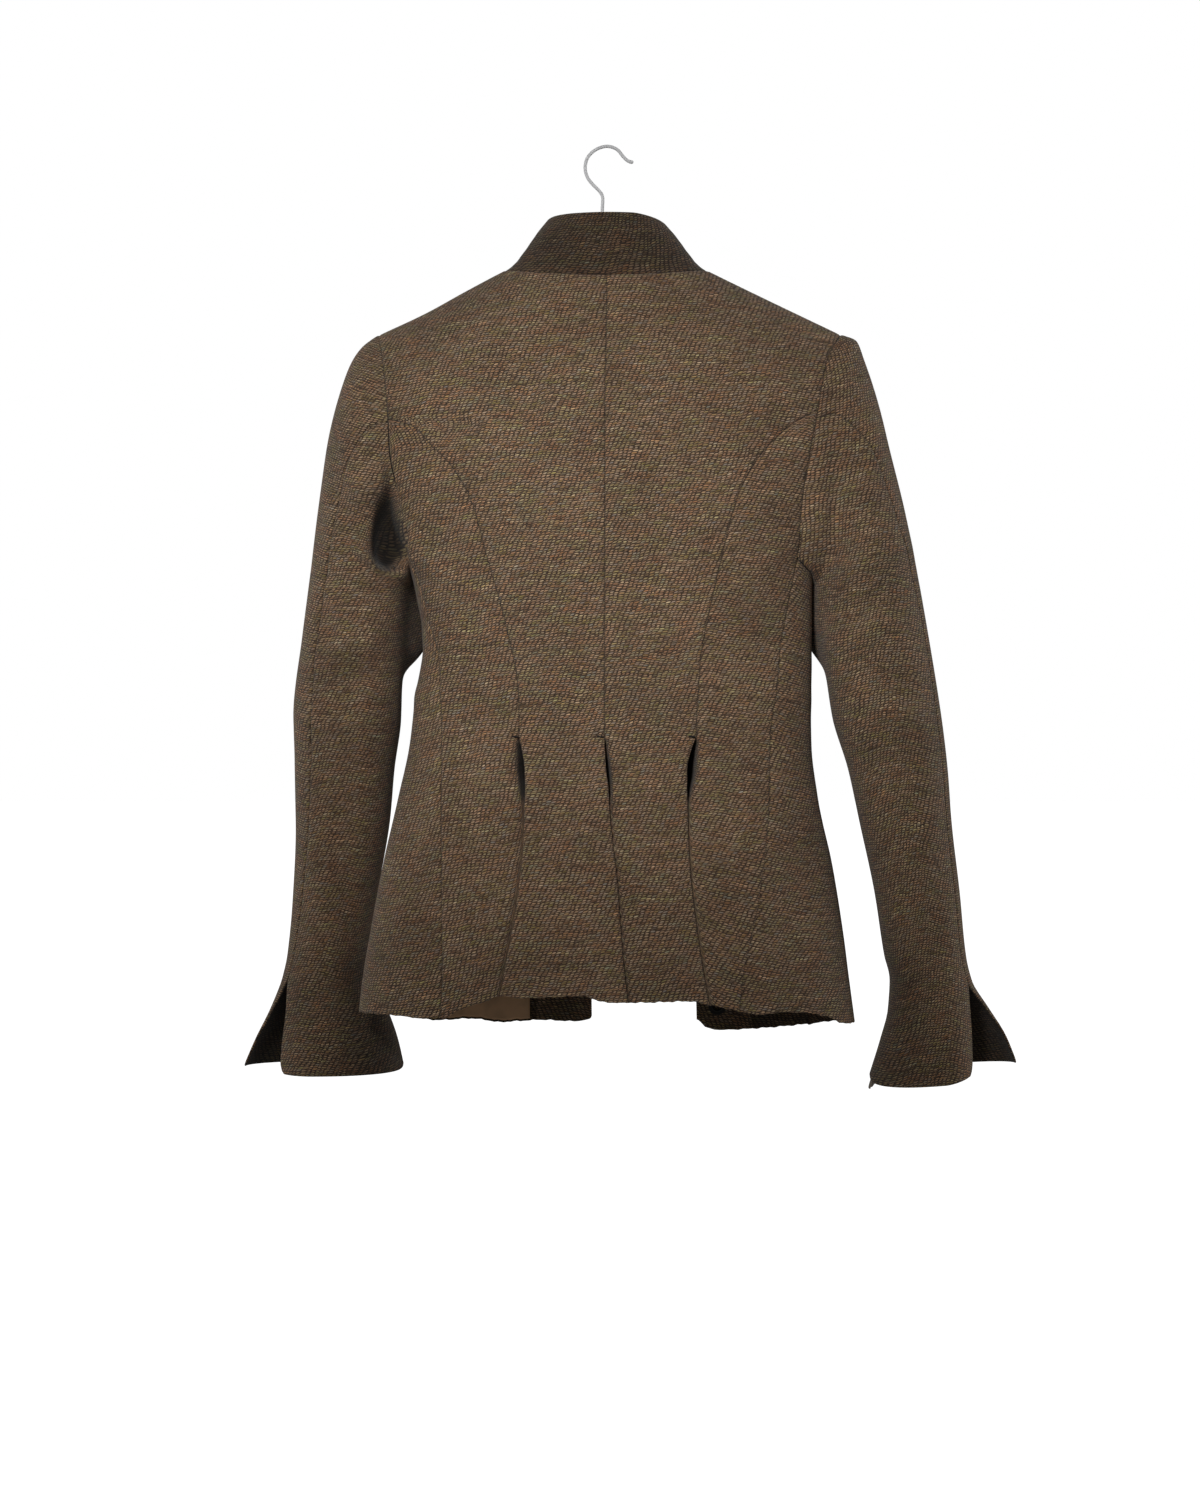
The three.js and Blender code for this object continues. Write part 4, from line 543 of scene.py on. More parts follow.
def shell(name, outer, inner, uv, slot, look=None, mask=None, seam=None, shade=None):
    """A closed wall from two grids of points; cells outside the mask are left out."""
    rows, cols = outer.shape[:2]
    here = np.ones((rows - 1, cols - 1), bool) if mask is None else mask
    ids = np.arange(rows * cols).reshape(rows, cols)
    corners, lows = (
        (grid[:-1, :-1], grid[1:, :-1], grid[1:, 1:], grid[:-1, 1:]) for grid in (ids, ids + rows * cols)
    )
    faces = [np.stack(corners, -1)[here], np.stack(lows[::-1], -1)[here]]
    walled = np.pad(here, 1)
    for p, (di, dj) in enumerate(((0, -1), (1, 0), (0, 1), (-1, 0))):
        edge = here & ~walled[1 + di : rows + di, 1 + dj : cols + dj]
        q = (p + 1) % 4
        faces.append(np.stack([corners[q], corners[p], lows[p], lows[q]], -1)[edge])
    used, index = np.unique(np.concatenate(faces), return_inverse=True)
    faces = index.reshape(-1, 4).tolist()

    def both(grid):
        return None if grid is None else np.concatenate([grid, grid])[used]

    points = np.concatenate([outer.reshape(-1, 3), inner.reshape(-1, 3)])[used]
    count = int(here.sum())
    backs = (count, 2 * count) if (look or slot) in ("tweed", "tweed_dark") else None
    seam = None if seam is None else np.broadcast_to(seam, (rows, cols)).ravel()
    shade = None if shade is None else shade.ravel()
    maps = both(uv.reshape(-1, 2)), backs, both(seam), both(shade)
    piece = mesh_piece(name, points, faces, slot, look, *maps)
    u, v = uv[..., 0], uv[..., 1]
    cell = 0.5 * np.abs(
        (u[1:, 1:] - u[:-1, :-1]) * (v[1:, :-1] - v[:-1, 1:])
        - (u[1:, :-1] - u[:-1, 1:]) * (v[1:, 1:] - v[:-1, :-1])
    )
    used_uv = uv.reshape(-1, 2)[used[used < rows * cols]]
    size = np.ptp(used_uv, axis=0) * MM
    piece["cut"] = [float(size[0]), float(size[1]), float(cell[here].sum() * MM * MM)]
    return piece


def declare(piece, node, rests_on):
    """Hides the solid that a cloth stands for and drops the cloth's flat size. rests_on is not used."""
    width, length, area = piece["cut"]
    del piece["cut"]
    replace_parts(piece, node)
    min(area, width * length)


def rod(name, rings, slot, look=None):
    """A closed rod from rows of points, one row for each ring along it."""
    rows, n = rings.shape[:2]
    ids = np.arange(rows * n).reshape(rows, n)
    right = np.roll(ids, -1, axis=1)
    faces = np.stack([ids[:-1], right[:-1], right[1:], ids[1:]], -1).reshape(-1, 4).tolist()
    faces += [ids[0][::-1].tolist(), ids[-1].tolist()]
    return mesh_piece(name, rings.reshape(-1, 3), faces, slot, look)


def way_along(line):
    """Length from a line's start to each of its points."""
    return np.concatenate([[0], np.cumsum(np.linalg.norm(np.diff(line, axis=0), axis=1))])


def points_at(places, length, line):
    return np.stack([np.interp(places, length, line[:, k]) for k in range(3)], -1)


def cloth_uv(outer, column, row, v_at_row):
    """Real lengths along the weft (u) and the warp (v) of a grid, from one column and one row."""
    step = np.diff(outer, axis=1)
    u = np.cumsum(np.hypot(step[..., 0], step[..., 1]), axis=1)
    u = np.pad(u, ((0, 0), (1, 0)))
    u = u[:, [column]] - u
    drop = np.diff(outer, axis=0)
    v = np.cumsum(np.hypot(drop[..., 1], drop[..., 2]), axis=0)
    v = np.pad(v, ((1, 0), (0, 0)))
    return np.stack([u, v_at_row + v[[row]] - v], -1)


def spread(start, end, step, near_start=(0,), near_end=(0,)):
    """Places from start to end: at given distances near both ends, and evenly between."""
    way = 1 if end > start else -1
    first = [start + way * d for d in near_start]
    last = [end - way * d for d in reversed(near_end)]
    count = max(1, round(abs(last[0] - first[-1]) / step))
    return np.array(first + list(np.linspace(first[-1], last[0], count + 1)[1:-1]) + last)


# ---------- materials ----------
class Value:
    """An output of a node that can be reckoned with like a number."""

    def __init__(self, graph, socket):
        self.graph, self.socket = graph, socket

    def __add__(self, other):
        return self.graph.math("ADD", self, other)

    def __sub__(self, other):
        return self.graph.math("SUBTRACT", self, other)

    def __mul__(self, other):
        return self.graph.math("MULTIPLY", self, other)

    def __truediv__(self, other):
        return self.graph.math("DIVIDE", self, other)

    def __pow__(self, other):
        return self.graph.math("POWER", self, other)


class Graph:
    """A short way to write the nodes of a material or a world."""

    def __init__(self, block):
        self.block = block
        block.use_nodes = True
        self.tree = block.node_tree
        self.tree.nodes.clear()

    def feed(self, socket, value):
        if isinstance(value, Value):
            self.tree.links.new(value.socket, socket)
        else:
            socket.default_value = value

    def node(self, kind, inputs=(), output=0, **settings):
        node = self.tree.nodes.new(kind)
        for key, value in settings.items():
            setattr(node, key, value)
        for key, value in dict(inputs).items():
            self.feed(node.inputs[key], value)
        return Value(self, node.outputs[output]) if node.outputs else None

    def math(self, operation, a, b=0.0, c=0.0):
        return self.node("ShaderNodeMath", {0: a, 1: b, 2: c}, operation=operation)

    def vector(self, operation, a, b=(0, 0, 0), scale=1.0):
        return self.node("ShaderNodeVectorMath", {0: a, 1: b, 3: scale}, operation=operation)

    def fade(self, value, low, high, start=0.0, end=1.0):
        inputs = {"Value": value, "From Min": low, "From Max": high, "To Min": start, "To Max": end}
        return self.node("ShaderNodeMapRange", inputs, interpolation_type="SMOOTHSTEP")

    def join(self, x, y, z=0.0):
        return self.node("ShaderNodeCombineXYZ", {0: x, 1: y, 2: z})

    def split(self, value):
        node = self.tree.nodes.new("ShaderNodeSeparateXYZ")
        self.feed(node.inputs[0], value)
        return [Value(self, socket) for socket in node.outputs]

    def noise(self, place, scale, detail=2.0, rough=0.5):
        inputs = {"Vector": place, "Scale": scale, "Detail": detail, "Roughness": rough}
        return self.node("ShaderNodeTexNoise", inputs, noise_dimensions="3D")

    def chance(self, place):
        return self.node("ShaderNodeTexWhiteNoise", {"Vector": place}, noise_dimensions="3D")

    def blend(self, factor, a, b, how="MIX"):
        inputs = {0: factor, 6: a, 7: b}
        return self.node("ShaderNodeMix", inputs, 2, data_type="RGBA", blend_type=how)

    def ramp(self, value, *stops):
        """A colour for each value, from stops of a place and a colour as seen on a screen."""
        node = self.tree.nodes.new("ShaderNodeValToRGB")
        self.feed(node.inputs[0], value)
        node.color_ramp.interpolation = "LINEAR"
        elements = node.color_ramp.elements
        while len(elements) < len(stops):
            elements.new(0.5)
        for element, (place, *colour) in zip(elements, stops):
            element.position, element.color = place, srgb(*colour)
        return Value(self, node.outputs[0])

    def cloth(self):
        """A piece's own lengths across and along its cloth, in mm."""
        return self.vector("SCALE", self.node("ShaderNodeUVMap", uv_map="cloth"), scale=1 / MM)

    def finish(self, base, bump=None, lift=0.0003, strength=1.0, **constants):
        inputs = {"Base Color": base}
        inputs.update((key.replace("_", " "), value) for key, value in constants.items())
        if bump is not None:
            lifted = {"Height": bump, "Distance": lift, "Strength": strength}
            inputs["Normal"] = self.node("ShaderNodeBump", lifted)
        self.node("ShaderNodeOutputMaterial", {0: self.node("ShaderNodeBsdfPrincipled", inputs)})
        return self.block


def srgb(r, g, b, gain=1.0):
    """A colour from its 0 to 255 values as seen on a screen."""
    linear = [((c / 255 + 0.055) / 1.055) ** 2.4 if c > 10 else c / 255 / 12.92 for c in (r, g, b)]
    return (*[min(1.0, gain * c) for c in linear], 1.0)


def new_material(name):
    return Graph(bpy.data.materials.new(name))


ROW_H, CELL_W, SHIFT = 2.05, 3.75, 0.85  # the weave's rows, the pitch of its floats and their shift


def tweed(name, gain):
    """A rough twill of mottled yarns: slanted light floats on a dark ground, over streaks."""
    g = new_material(name)
    mm = g.cloth()
    across, up, _ = g.split(mm)
    wave_u, wave_v = (g.noise(mm, scale, 1.0) for scale in (0.085, 0.027))
    ripple = g.noise(g.vector("ADD", mm, (300, 90, 5)), 0.06, 1.0)
    u = across + (wave_u - 0.5) * 4.0
    v = up + (wave_v - 0.5) * 5.0 + (ripple - 0.5) * 2.2

    def floats(off_u, off_v, long, thick, tilt, seed):
        """Threads that lie on top, one to a cell, and two numbers that each has by chance."""
        row = g.math("FLOOR", (v + off_v) / ROW_H)
        jump = g.chance(g.join(row, seed)) * 0.5
        slid = u + (jump + off_u) - row * SHIFT
        cell = g.math("FLOOR", slid / CELL_W)
        luck, other = g.chance(g.join(cell, row, seed)), g.chance(g.join(row, cell, seed + 5.5))
        away_u = slid - (cell + 0.5) * CELL_W
        away_v = away_u * -tilt + (v + off_v - (row + 0.5) * ROW_H) + (other - 0.5) * 0.45
        wide = g.math("MULTIPLY_ADD", luck, 0.6 * long, 0.7 * long)
        a = (g.math("ABSOLUTE", away_u) / wide) ** 2.0
        b = (g.math("ABSOLUTE", away_v) / thick) ** 2.0
        return g.fade(a + b, 1.35, 0.55), luck, other

    light, luck, other = floats(0.0, 0.0, 1.68, 0.58, 0.24, 1.0)
    low, _, other_low = floats(CELL_W / 2, ROW_H / 2, 0.9, 0.42, 0.2, 9.0)
    streak = g.noise(g.join(across / 46.0, v / 3.0), 1.0, 2.0, 0.6)
    yarns = g.ramp(
        streak * 0.9 + (other - 0.5) * 0.5,
        (0.0, 96, 78, 62), (0.28, 158, 134, 112), (0.4, 182, 157, 130), (0.48, 158, 145, 134),
        (0.56, 200, 176, 148), (0.64, 148, 124, 100), (0.76, 214, 194, 164),
        (1.0, 236, 220, 196),
    )
    tint = g.ramp(
        luck,
        (0.0, 250, 240, 228), (0.6, 252, 246, 238), (0.7, 216, 228, 240), (0.84, 252, 228, 204),
        (0.93, 222, 224, 188), (1.0, 255, 250, 240),
    )
    patch = g.noise(g.join(across / 24.0, v / 9.0, 3.0), 1.0, 1.0)
    dye = g.ramp(patch, (0.36, 255, 234, 222), (0.5, 252, 248, 244), (0.64, 238, 246, 222))
    for layer in (tint, dye):
        yarns = g.blend(1.0, yarns, layer, "MULTIPLY")
    under = g.ramp(
        streak * 0.7 + other_low * 0.35,
        (0.1, 58, 47, 40), (0.4, 98, 80, 65), (0.6, 120, 99, 80), (0.95, 146, 124, 102),
    )
    fibre = g.noise(g.join(u / 1.4, v / 0.5), 1.0, 3.0, 0.65)
    ground = g.blend(g.fade(fibre, 0.3, 0.75), srgb(42, 34, 28), srgb(88, 71, 57))
    colour = g.blend(light, g.blend(low * 0.85, ground, under), yarns)
    broad = g.noise(g.vector("ADD", mm, (40, 700, 9)), 0.014, 2.0)
    shade = g.math("MULTIPLY_ADD", broad - 0.5, 0.55, gain)
    shade = shade * g.math("MULTIPLY_ADD", fibre - 0.5, 0.45, 1.0)
    # The seam map holds the distance to a seam and a painted shade: of the sleeve's pocket, open pleats,
    # slack cloth and cuffs.
    seam, painted_shade, _ = g.split(g.node("ShaderNodeUVMap", uv_map="seam"))
    # Near a seam the cloth darkens, for the seam's thread and as painted shade in its groove.
    shade = shade * painted_shade * g.fade(seam, 0.3 / FAR_OFF, 1.3 / FAR_OFF, 0.7, 1.0)
    colour = g.blend(1.0, colour, g.join(shade, shade, shade), "MULTIPLY")
    height = g.math("MAXIMUM", light, low * 0.7) * 0.7 + fibre * 0.5
    coat = {"Roughness": 0.92, "Sheen_Weight": 0.1, "Sheen_Roughness": 0.6, "Specular_IOR_Level": 0.25}
    return g.finish(colour, height, 0.0004, 0.5, **coat)


def satin(name, colour, rough):
    g = new_material(name)
    mm = g.cloth()
    soft = g.noise(mm, 0.05, 2.0)
    inputs = {"Vector": mm, "Scale": 0.8, "Distortion": 0.6}
    thread = g.node("ShaderNodeTexWave", inputs, 1, bands_direction="DIAGONAL")
    base = g.blend(g.fade(soft, 0.3, 0.7), srgb(*colour, 0.85), srgb(*colour, 1.12))
    return g.finish(base, thread, 0.00004, 0.5, Roughness=rough, Sheen_Weight=0.1)


def plain(name, colour, rough, metal=0.0, spread_scale=900.0):
    """A coated or drawn surface with slight unevenness in its polish."""
    g = new_material(name)
    soft = g.noise(g.node("ShaderNodeTexCoord", output="Object"), spread_scale, 3.0)
    base = g.blend(soft, srgb(*colour, 0.9), srgb(*colour, 1.1))
    polish = g.fade(soft, 0.2, 0.8, rough * 0.85, rough * 1.15)
    return g.finish(base, soft, 0.00002, 0.3, Roughness=polish, Metallic=metal)


# Each look by the material slot that has it, and three that share a slot with another.
looks = {
    "tweed": tweed("Brown mottled tweed", 1.0),
    "tweed_dark": tweed("Darker tweed", 0.48),
    # The tweed's wrong side, with a low gain that is painted shade of the garment's inside.
    "inside": tweed("Tweed seen from its wrong side", 0.4),
    "lining": satin("Brown satin lining", (214, 168, 124), 0.38),
    "facing": tweed("Tweed of the facings", 0.78),
    "cuff_lining": satin("Taupe satin lining", (138, 122, 104), 0.42),
    "stud_metal": plain("Dark enamelled metal", (30, 27, 25), 0.34, 0.6),
    "hook_steel": plain("Drawn steel wire", (246, 246, 248), 0.6, 0.0, 120.0),
    "hanger_finish": plain("Black painted bar", (28, 28, 29), 0.5),
    "thread": plain("Dark thread", (22, 18, 16), 0.85, 0.0, 3000.0),
}


# ---------- body panels ----------
FREE_NEAR = (0, 0.15, 0.5, 1, 1.8, 3.2)
NEAR = {  # distances of the columns nearest an edge, by its kind
    "seam": (0, 0.4, 1.0, 1.9, 3.2),
    "over": (0, 1.2, 2.6, 5),
    "under": (0, 0.8, 1.6, 2.6, 4, 5.8, 8),
    "free": (*FREE_NEAR, *np.linspace(7, FACING_W, 11)),
}
NEAR_SHARE = 0.6  # most of a panel's width that these columns take
NEAR_TOP = (0, 0.4, 1.0, 1.9, 3.2)
NEAR_HEM = (3.6, 2, 1.1, 0.6, 0.2, 0)
ROLL_REACH, ROLL_POWER = 8, 2.2
FOLD_TURNS = np.linspace(0, 1, 9)[1:]
SLIT_DEPTH = 4.0  # how much deeper the cloth dives per width of the slit beside it
PIT_REACH = 3.0
SLIT_PAINTED_SHADE = 0.95  # how dark the painted shade in the depth of an open pleat is
PAINTED_SHADE_DEPTH = 7.0  # the depth at which that painted shade is full
FRAY = 0.3  # how far a hem's edge wanders
TOP_GUESS, HEM_GUESS = -200.0, -725.0  # where the search for a piece's two ends begins
TOP_TRIES, HEM_TRIES = 8, 4  # steps of that search
UNDER_SHARES = (0.25, 0.6, 1)  # places of the columns under a fold, as shares of the underlay
PANEL_W = {  # the widths that the columns are spread over
    "back_left": 190, "back_right": 190, "side_back_left": 60, "side_back_right": 60,
    "front_left": 150, "front_right": 110,
}
# A side back's weft: its slope, what the slope gains low down, from which height, over what drop.
TILT = {"left": (-0.06, -0.12, -560, 150), "right": (0.06, 0.36, -530, 180)}
POINT_X = {"left": (182.3, 178), "right": (-177.4, -173)}  # the two ends of a side back's narrow top
POINT_DROP = 0.9


def fray(x, start=0):
    return FRAY * (np.sin(0.83 * x) + np.sin(0.41 * x + start))


def inset(x, z, side, way):
    """The x that lies half a lap further along the body."""
    angle = angle_at(x, z, side)
    fine = 0.004
    reach = np.linalg.norm(skin(angle + fine, z) - skin(angle - fine, z), axis=-1) / (2 * fine)
    return skin(angle + side * way * LAP / 2 / reach, z)[..., 0]


def pleated(edge, column, z):
    return along(PLEATS, f"{column}_{edge['pleat']}", z)


def edge_main(edge, way, side, z):
    """Where a panel's flat part ends: way is +1 for its left edge and -1 for its right one."""
    closed = inset(edge["seam"](z), z, side, -way)
    if not edge["pleat"]:
        return closed
    room = FOLD_R if edge["kind"] == "over" else pleated(edge, "slit", z)
    return np.where(z < PLEAT_Z - 1, pleated(edge, "fold", z) - way * room, closed)


def edge_depth(edge, column, z):
    """A depth that only the lower edge of an open pleat has."""
    if edge["kind"] != "under":
        return np.zeros_like(z)
    return np.where(z < PLEAT_Z - 1, pleated(edge, column, z), 0)


def edge_pit(edge, z):
    """How much deeper the cloth falls away where the pleat stands open."""
    return SLIT_DEPTH * edge_depth(edge, "slit", z)


# Painted shade in the depth of an open pleat.
def pit_shade(edge, z):
    return SLIT_PAINTED_SHADE * np.clip(edge_pit(edge, z) / PAINTED_SHADE_DEPTH, 0, 1)


def beyond(edge, way, side, z):
    """Outer and inner places (x, sunk) of each column past a fold, or under the neighbour."""
    if not edge["pleat"]:
        return []
    fold, under = pleated(edge, "fold", z), along(PLEATS, "under", z)
    flat = np.ones_like(z)
    if edge["kind"] == "under":
        main, dive = edge_main(edge, way, side, z), edge_depth(edge, "dive", z) + edge_pit(edge, z)
        xs = [mix(main, fold + way * under, share) for share in UNDER_SHARES]
        return [((x, dive), (x, dive + CLOTH)) for x in xs]
    centre = fold - way * FOLD_R

    def bent(r, t):
        return centre + way * r * np.sin(t), flat * (FOLD_R - r * np.cos(t))

    places = [(bent(FOLD_R, t), bent(FOLD_R - CLOTH, t)) for t in FOLD_TURNS * np.pi]
    for x in (centre - way * under * 0.5, centre - way * under):
        places.append(((x, flat * 2 * FOLD_R), (x, flat * (2 * FOLD_R - CLOTH))))
    return places


def heights(top, hem, rows, *bends):
    """Heights of a column of points: close to each other near its top and its hem, and even from
    each bend, a height and the rows down to it, to the next."""
    parts = [top - np.array(NEAR_TOP)]
    for stop, count in (*bends, (hem + NEAR_HEM[0], rows)):
        parts.append(np.linspace(parts[-1][-1], stop, count + 1)[1:])
    return np.concatenate([*parts, hem + np.array(NEAR_HEM[1:])])


def panel(name, side, left, right, top_of, upright=True, slope=None):
    """A piece of the body between two edges, from its top to the hem. Its weft runs level, or
    rises by a slope that is a function of the height. Its grain is upright, or follows its middle."""
    near_l, near_r = np.array(NEAR[left["kind"]]), np.array(NEAR[right["kind"]])
    shares = np.linspace(0, 1, max(3, round(PANEL_W[name] / STEP)))[1:-1]
    middle = len(shares)
    from_left = np.concatenate([near_l, np.full(middle + len(near_r), near_l[-1])])
    from_right = np.concatenate([np.full(len(near_l) + middle, near_r[-1]), near_r[::-1]])
    share = np.concatenate([np.zeros(len(near_l)), shares, np.ones(len(near_r))])

    def place(z):
        a, b = edge_main(left, 1, side, z), edge_main(right, -1, side, z)
        scale = np.minimum(1, NEAR_SHARE * (a - b) / (near_l[-1] + near_r[-1]))
        x = mix(a - from_left * scale, b + from_right * scale, share)
        return x, a - x, x - b

    def hem_of(x, z):
        y = placed(x, z, side, np.zeros_like(x))[..., 1]
        return hem_at(x, y) + fray(x, 1)

    tops, hems = np.full(len(share), TOP_GUESS), np.full(len(share), HEM_GUESS)
    for _ in range(TOP_TRIES):
        tops = top_of(place(tops)[0])
    for _ in range(HEM_TRIES):
        hems = hem_of(place(hems)[0], hems)
    past_l, past_r = beyond(left, 1, side, hems[:1]), beyond(right, -1, side, hems[-1:])
    hems_l = [hem_of(outer[0], hems[:1])[0] for outer, _ in past_l]
    hems_r = [hem_of(outer[0], hems[-1:])[0] for outer, _ in past_r]
    rows_up = round(np.mean(tops - PLEAT_Z) / STEP)
    rows_low = round((PLEAT_Z - HEM_GUESS) / STEP)
    row_counts = rows_low, (PLEAT_Z, rows_up)
    z = np.stack([heights(t, h, *row_counts) for t, h in zip(tops, hems)], -1)
    x, d_left, d_right = place(z)
    sunk, inner_sunk, seam, shade = np.zeros_like(z), np.zeros_like(z), tops - z, np.ones_like(z)
    for edge, d in ((left, np.maximum(d_left, 0)), (right, np.maximum(d_right, 0))):
        close = 1 - np.minimum(d / PIT_REACH, 1)
        roll = edge_depth(edge, "dive", z) * (1 - np.minimum(d / ROLL_REACH, 1)) ** ROLL_POWER
        roll = roll + edge_pit(edge, z) * close**2
        # Painted shade in the open pleat's depth.
        shade *= 1 - pit_shade(edge, z) * close
        opened = bool(edge["pleat"]) & (z < PLEAT_Z - 1)
        sunk += roll + np.where(opened, 0, groove(edge["kind"], d))
        inner_sunk += roll - (groove("free", d) if edge["kind"] == "free" else 0)
        seam = np.where(opened | (edge["kind"] == "free"), seam, np.minimum(seam, d))
    sunk += groove("seam", tops - z)
    rim = groove("free", z - hems)
    rise = CREASE_GAIN * creases(BODY_CREASES, x, z, side)
    sunk, inner_sunk = sunk + rim - rise, inner_sunk - rim + CLOTH - rise
    columns = [
        (x[:, j], z[:, j], sunk[:, j], x[:, j], inner_sunk[:, j], seam[:, j], shade[:, j])
        for j in range(x.shape[1])
    ]

    def add_past(edge, way, main, hem_list, grow):
        for k, hem in enumerate(hem_list):
            zz = heights(tops[main], hem, *row_counts)
            outer, inner = beyond(edge, way, side, zz)[k]
            rim_k = groove("free", zz - hem)
            lift = CREASE_GAIN * creases(BODY_CREASES, outer[0], zz, side)
            # No seam darkens the cloth past a fold; the open pleat's depth gets its painted shade.
            seam_gap_and_painted_shade = np.full_like(zz, FAR_OFF), 1 - pit_shade(edge, zz)
            grow((outer[0], zz, outer[1] + rim_k - lift, inner[0], inner[1] - rim_k - lift, *seam_gap_and_painted_shade))

    add_past(left, 1, 0, hems_l, lambda c: columns.insert(0, c))
    add_past(right, -1, -1, hems_r, columns.append)
    xo, zo, so, xi, si, seam, shade = (np.stack(part, -1) for part in zip(*columns))
    outer, inner = placed(xo, zo, side, so), placed(xi, zo, side, si)
    pleat_row = len(NEAR_TOP) + rows_up - 1
    low = np.arange(zo.shape[0] - 1)[:, None] >= pleat_row
    cols = np.arange(xo.shape[1] - 1)[None, :]
    main = (cols >= len(hems_l)) & (cols < xo.shape[1] - 1 - len(hems_r))
    first = len(hems_l)
    uv = cloth_uv(outer, first, pleat_row, PLEAT_Z)
    middle = x.shape[1] // 2
    lean, start = np.polyfit(z[:, middle], x[:, middle], 1)
    lean = 0 if upright else lean
    start = x[:, middle].mean() if upright else start
    flat_u = uv[:, first : first + x.shape[1], 0]
    uv[..., 0] -= np.stack([np.interp(-(start + lean * zr), -xr, ur) for zr, xr, ur in zip(zo, x, flat_u)])
    uv[..., 0] *= -side
    if slope is not None:
        uv[..., 1] += uv[..., 0] * slope(zo)
    uv += own_bolt()
    piece = shell(name + "_cloth", outer, inner, uv, "tweed", mask=low | main, seam=seam, shade=shade)
    return {"piece": piece, "outer": outer, "inner": inner, "uv": uv}


bolt_places = iter(range(1000))


def own_bolt():
    """A place of its own on the bolt of cloth for each piece, so that no pattern runs on."""
    k = next(bolt_places)
    return np.array([311.7 * k, 97.3 * k])


def back_top(x):
    return np.where(np.abs(x) > NECK_X, shoulder_z(x), along(NECK_BACK, "z", x))


def front_top(x):
    return np.where(np.abs(x) > NECK_X, shoulder_z(x), along(NECK_FRONT, "z", x))


def seam_below(armhole, rows, column, top):
    """A seam that follows the armhole down to a height, and then its own table."""
    return lambda z: np.where(z >= top, along(ARMHOLE, armhole, z), along(rows, column, z))


def body():
    def column(rows, name):
        return lambda z: along(rows, name, z)

    def point(side):
        top, (outer_x, inner_x) = PRINCESS_TOP[side], POINT_X[side]
        return lambda x: top + LAP - POINT_DROP * np.clip((outer_x - x) / (outer_x - inner_x), 0, 1)

    def tilted(side):
        slope, more, start, drop = TILT[side]
        return {"upright": False, "slope": lambda z: slope + more * smooth((start - z) / drop)}

    def edge(kind, seam, pleat=None):
        return {"kind": kind, "seam": seam, "pleat": pleat}

    centre = column(CENTRE_BACK, "x")
    below = {
        side + word: seam_below(word + side[0].upper(), rows, side, SIDE_BACK_Z)
        for side in ("left", "right")
        for word, rows in (("back", SIDE_BACK), ("front", SIDE_FRONT))
    }
    princess_l = seam_below("backL", PRINCESS_L, "x", PRINCESS_TOP["left"])
    princess_r = seam_below("backR", PRINCESS_R, "x", PRINCESS_TOP["right"])
    free_l, free_r = (edge("free", column(FRONT_EDGE, side)) for side in ("left", "right"))
    # Name, side, left and right edge, top and grain.
    pieces = (
        ("back_left", 1, edge("over", princess_l, "left"), edge("over", centre, "centre"), back_top, {}),
        ("back_right", 1, edge("under", centre, "centre"), edge("over", princess_r, "right"), back_top, {}),
        ("side_back_left", 1, edge("seam", below["leftback"]),
         edge("under", column(PRINCESS_L, "x"), "left"), point("left"), tilted("left")),
        ("side_back_right", 1, edge("under", column(PRINCESS_R, "x"), "right"),
         edge("seam", below["rightback"]), point("right"), tilted("right")),
        ("front_left", -1, edge("seam", below["leftfront"]), free_l, front_top, {}),
        ("front_right", -1, free_r, edge("seam", below["rightfront"]), front_top, {}),
    )
    out = {name: panel(name, *rest, **grain) for name, *rest, grain in pieces}
    for side in ("left", "right"):
        out["side_" + side] = underarm(side)
    return out


UNDERARM_POWER = 2.2
UNDERARM_W = 150
UNDERARM_V = -365  # the place along the warp of its first full row
UNDERARM_TILT = {"left": 0.1, "right": 0.06}


def underarm_z(share):
    return mix(UNDERARM_Z, SIDE_BACK_Z, np.abs(2 * share - 1) ** UNDERARM_POWER)


def underarm_angles(side, z):
    key = side[0].upper()
    back = np.where(z >= SIDE_BACK_Z, along(ARMHOLE, "back" + key, z), along(SIDE_BACK, side, z))
    front = np.where(z >= SIDE_BACK_Z, along(ARMHOLE, "front" + key, z), along(SIDE_FRONT, side, z))
    a = angle_at(back, z, 1)
    b = angle_at(front, z, -1) + (0 if side == "left" else 2 * np.pi)
    lap = np.sign(b - a) * LAP / 2 / UNDERARM_W
    return a - lap, b + lap


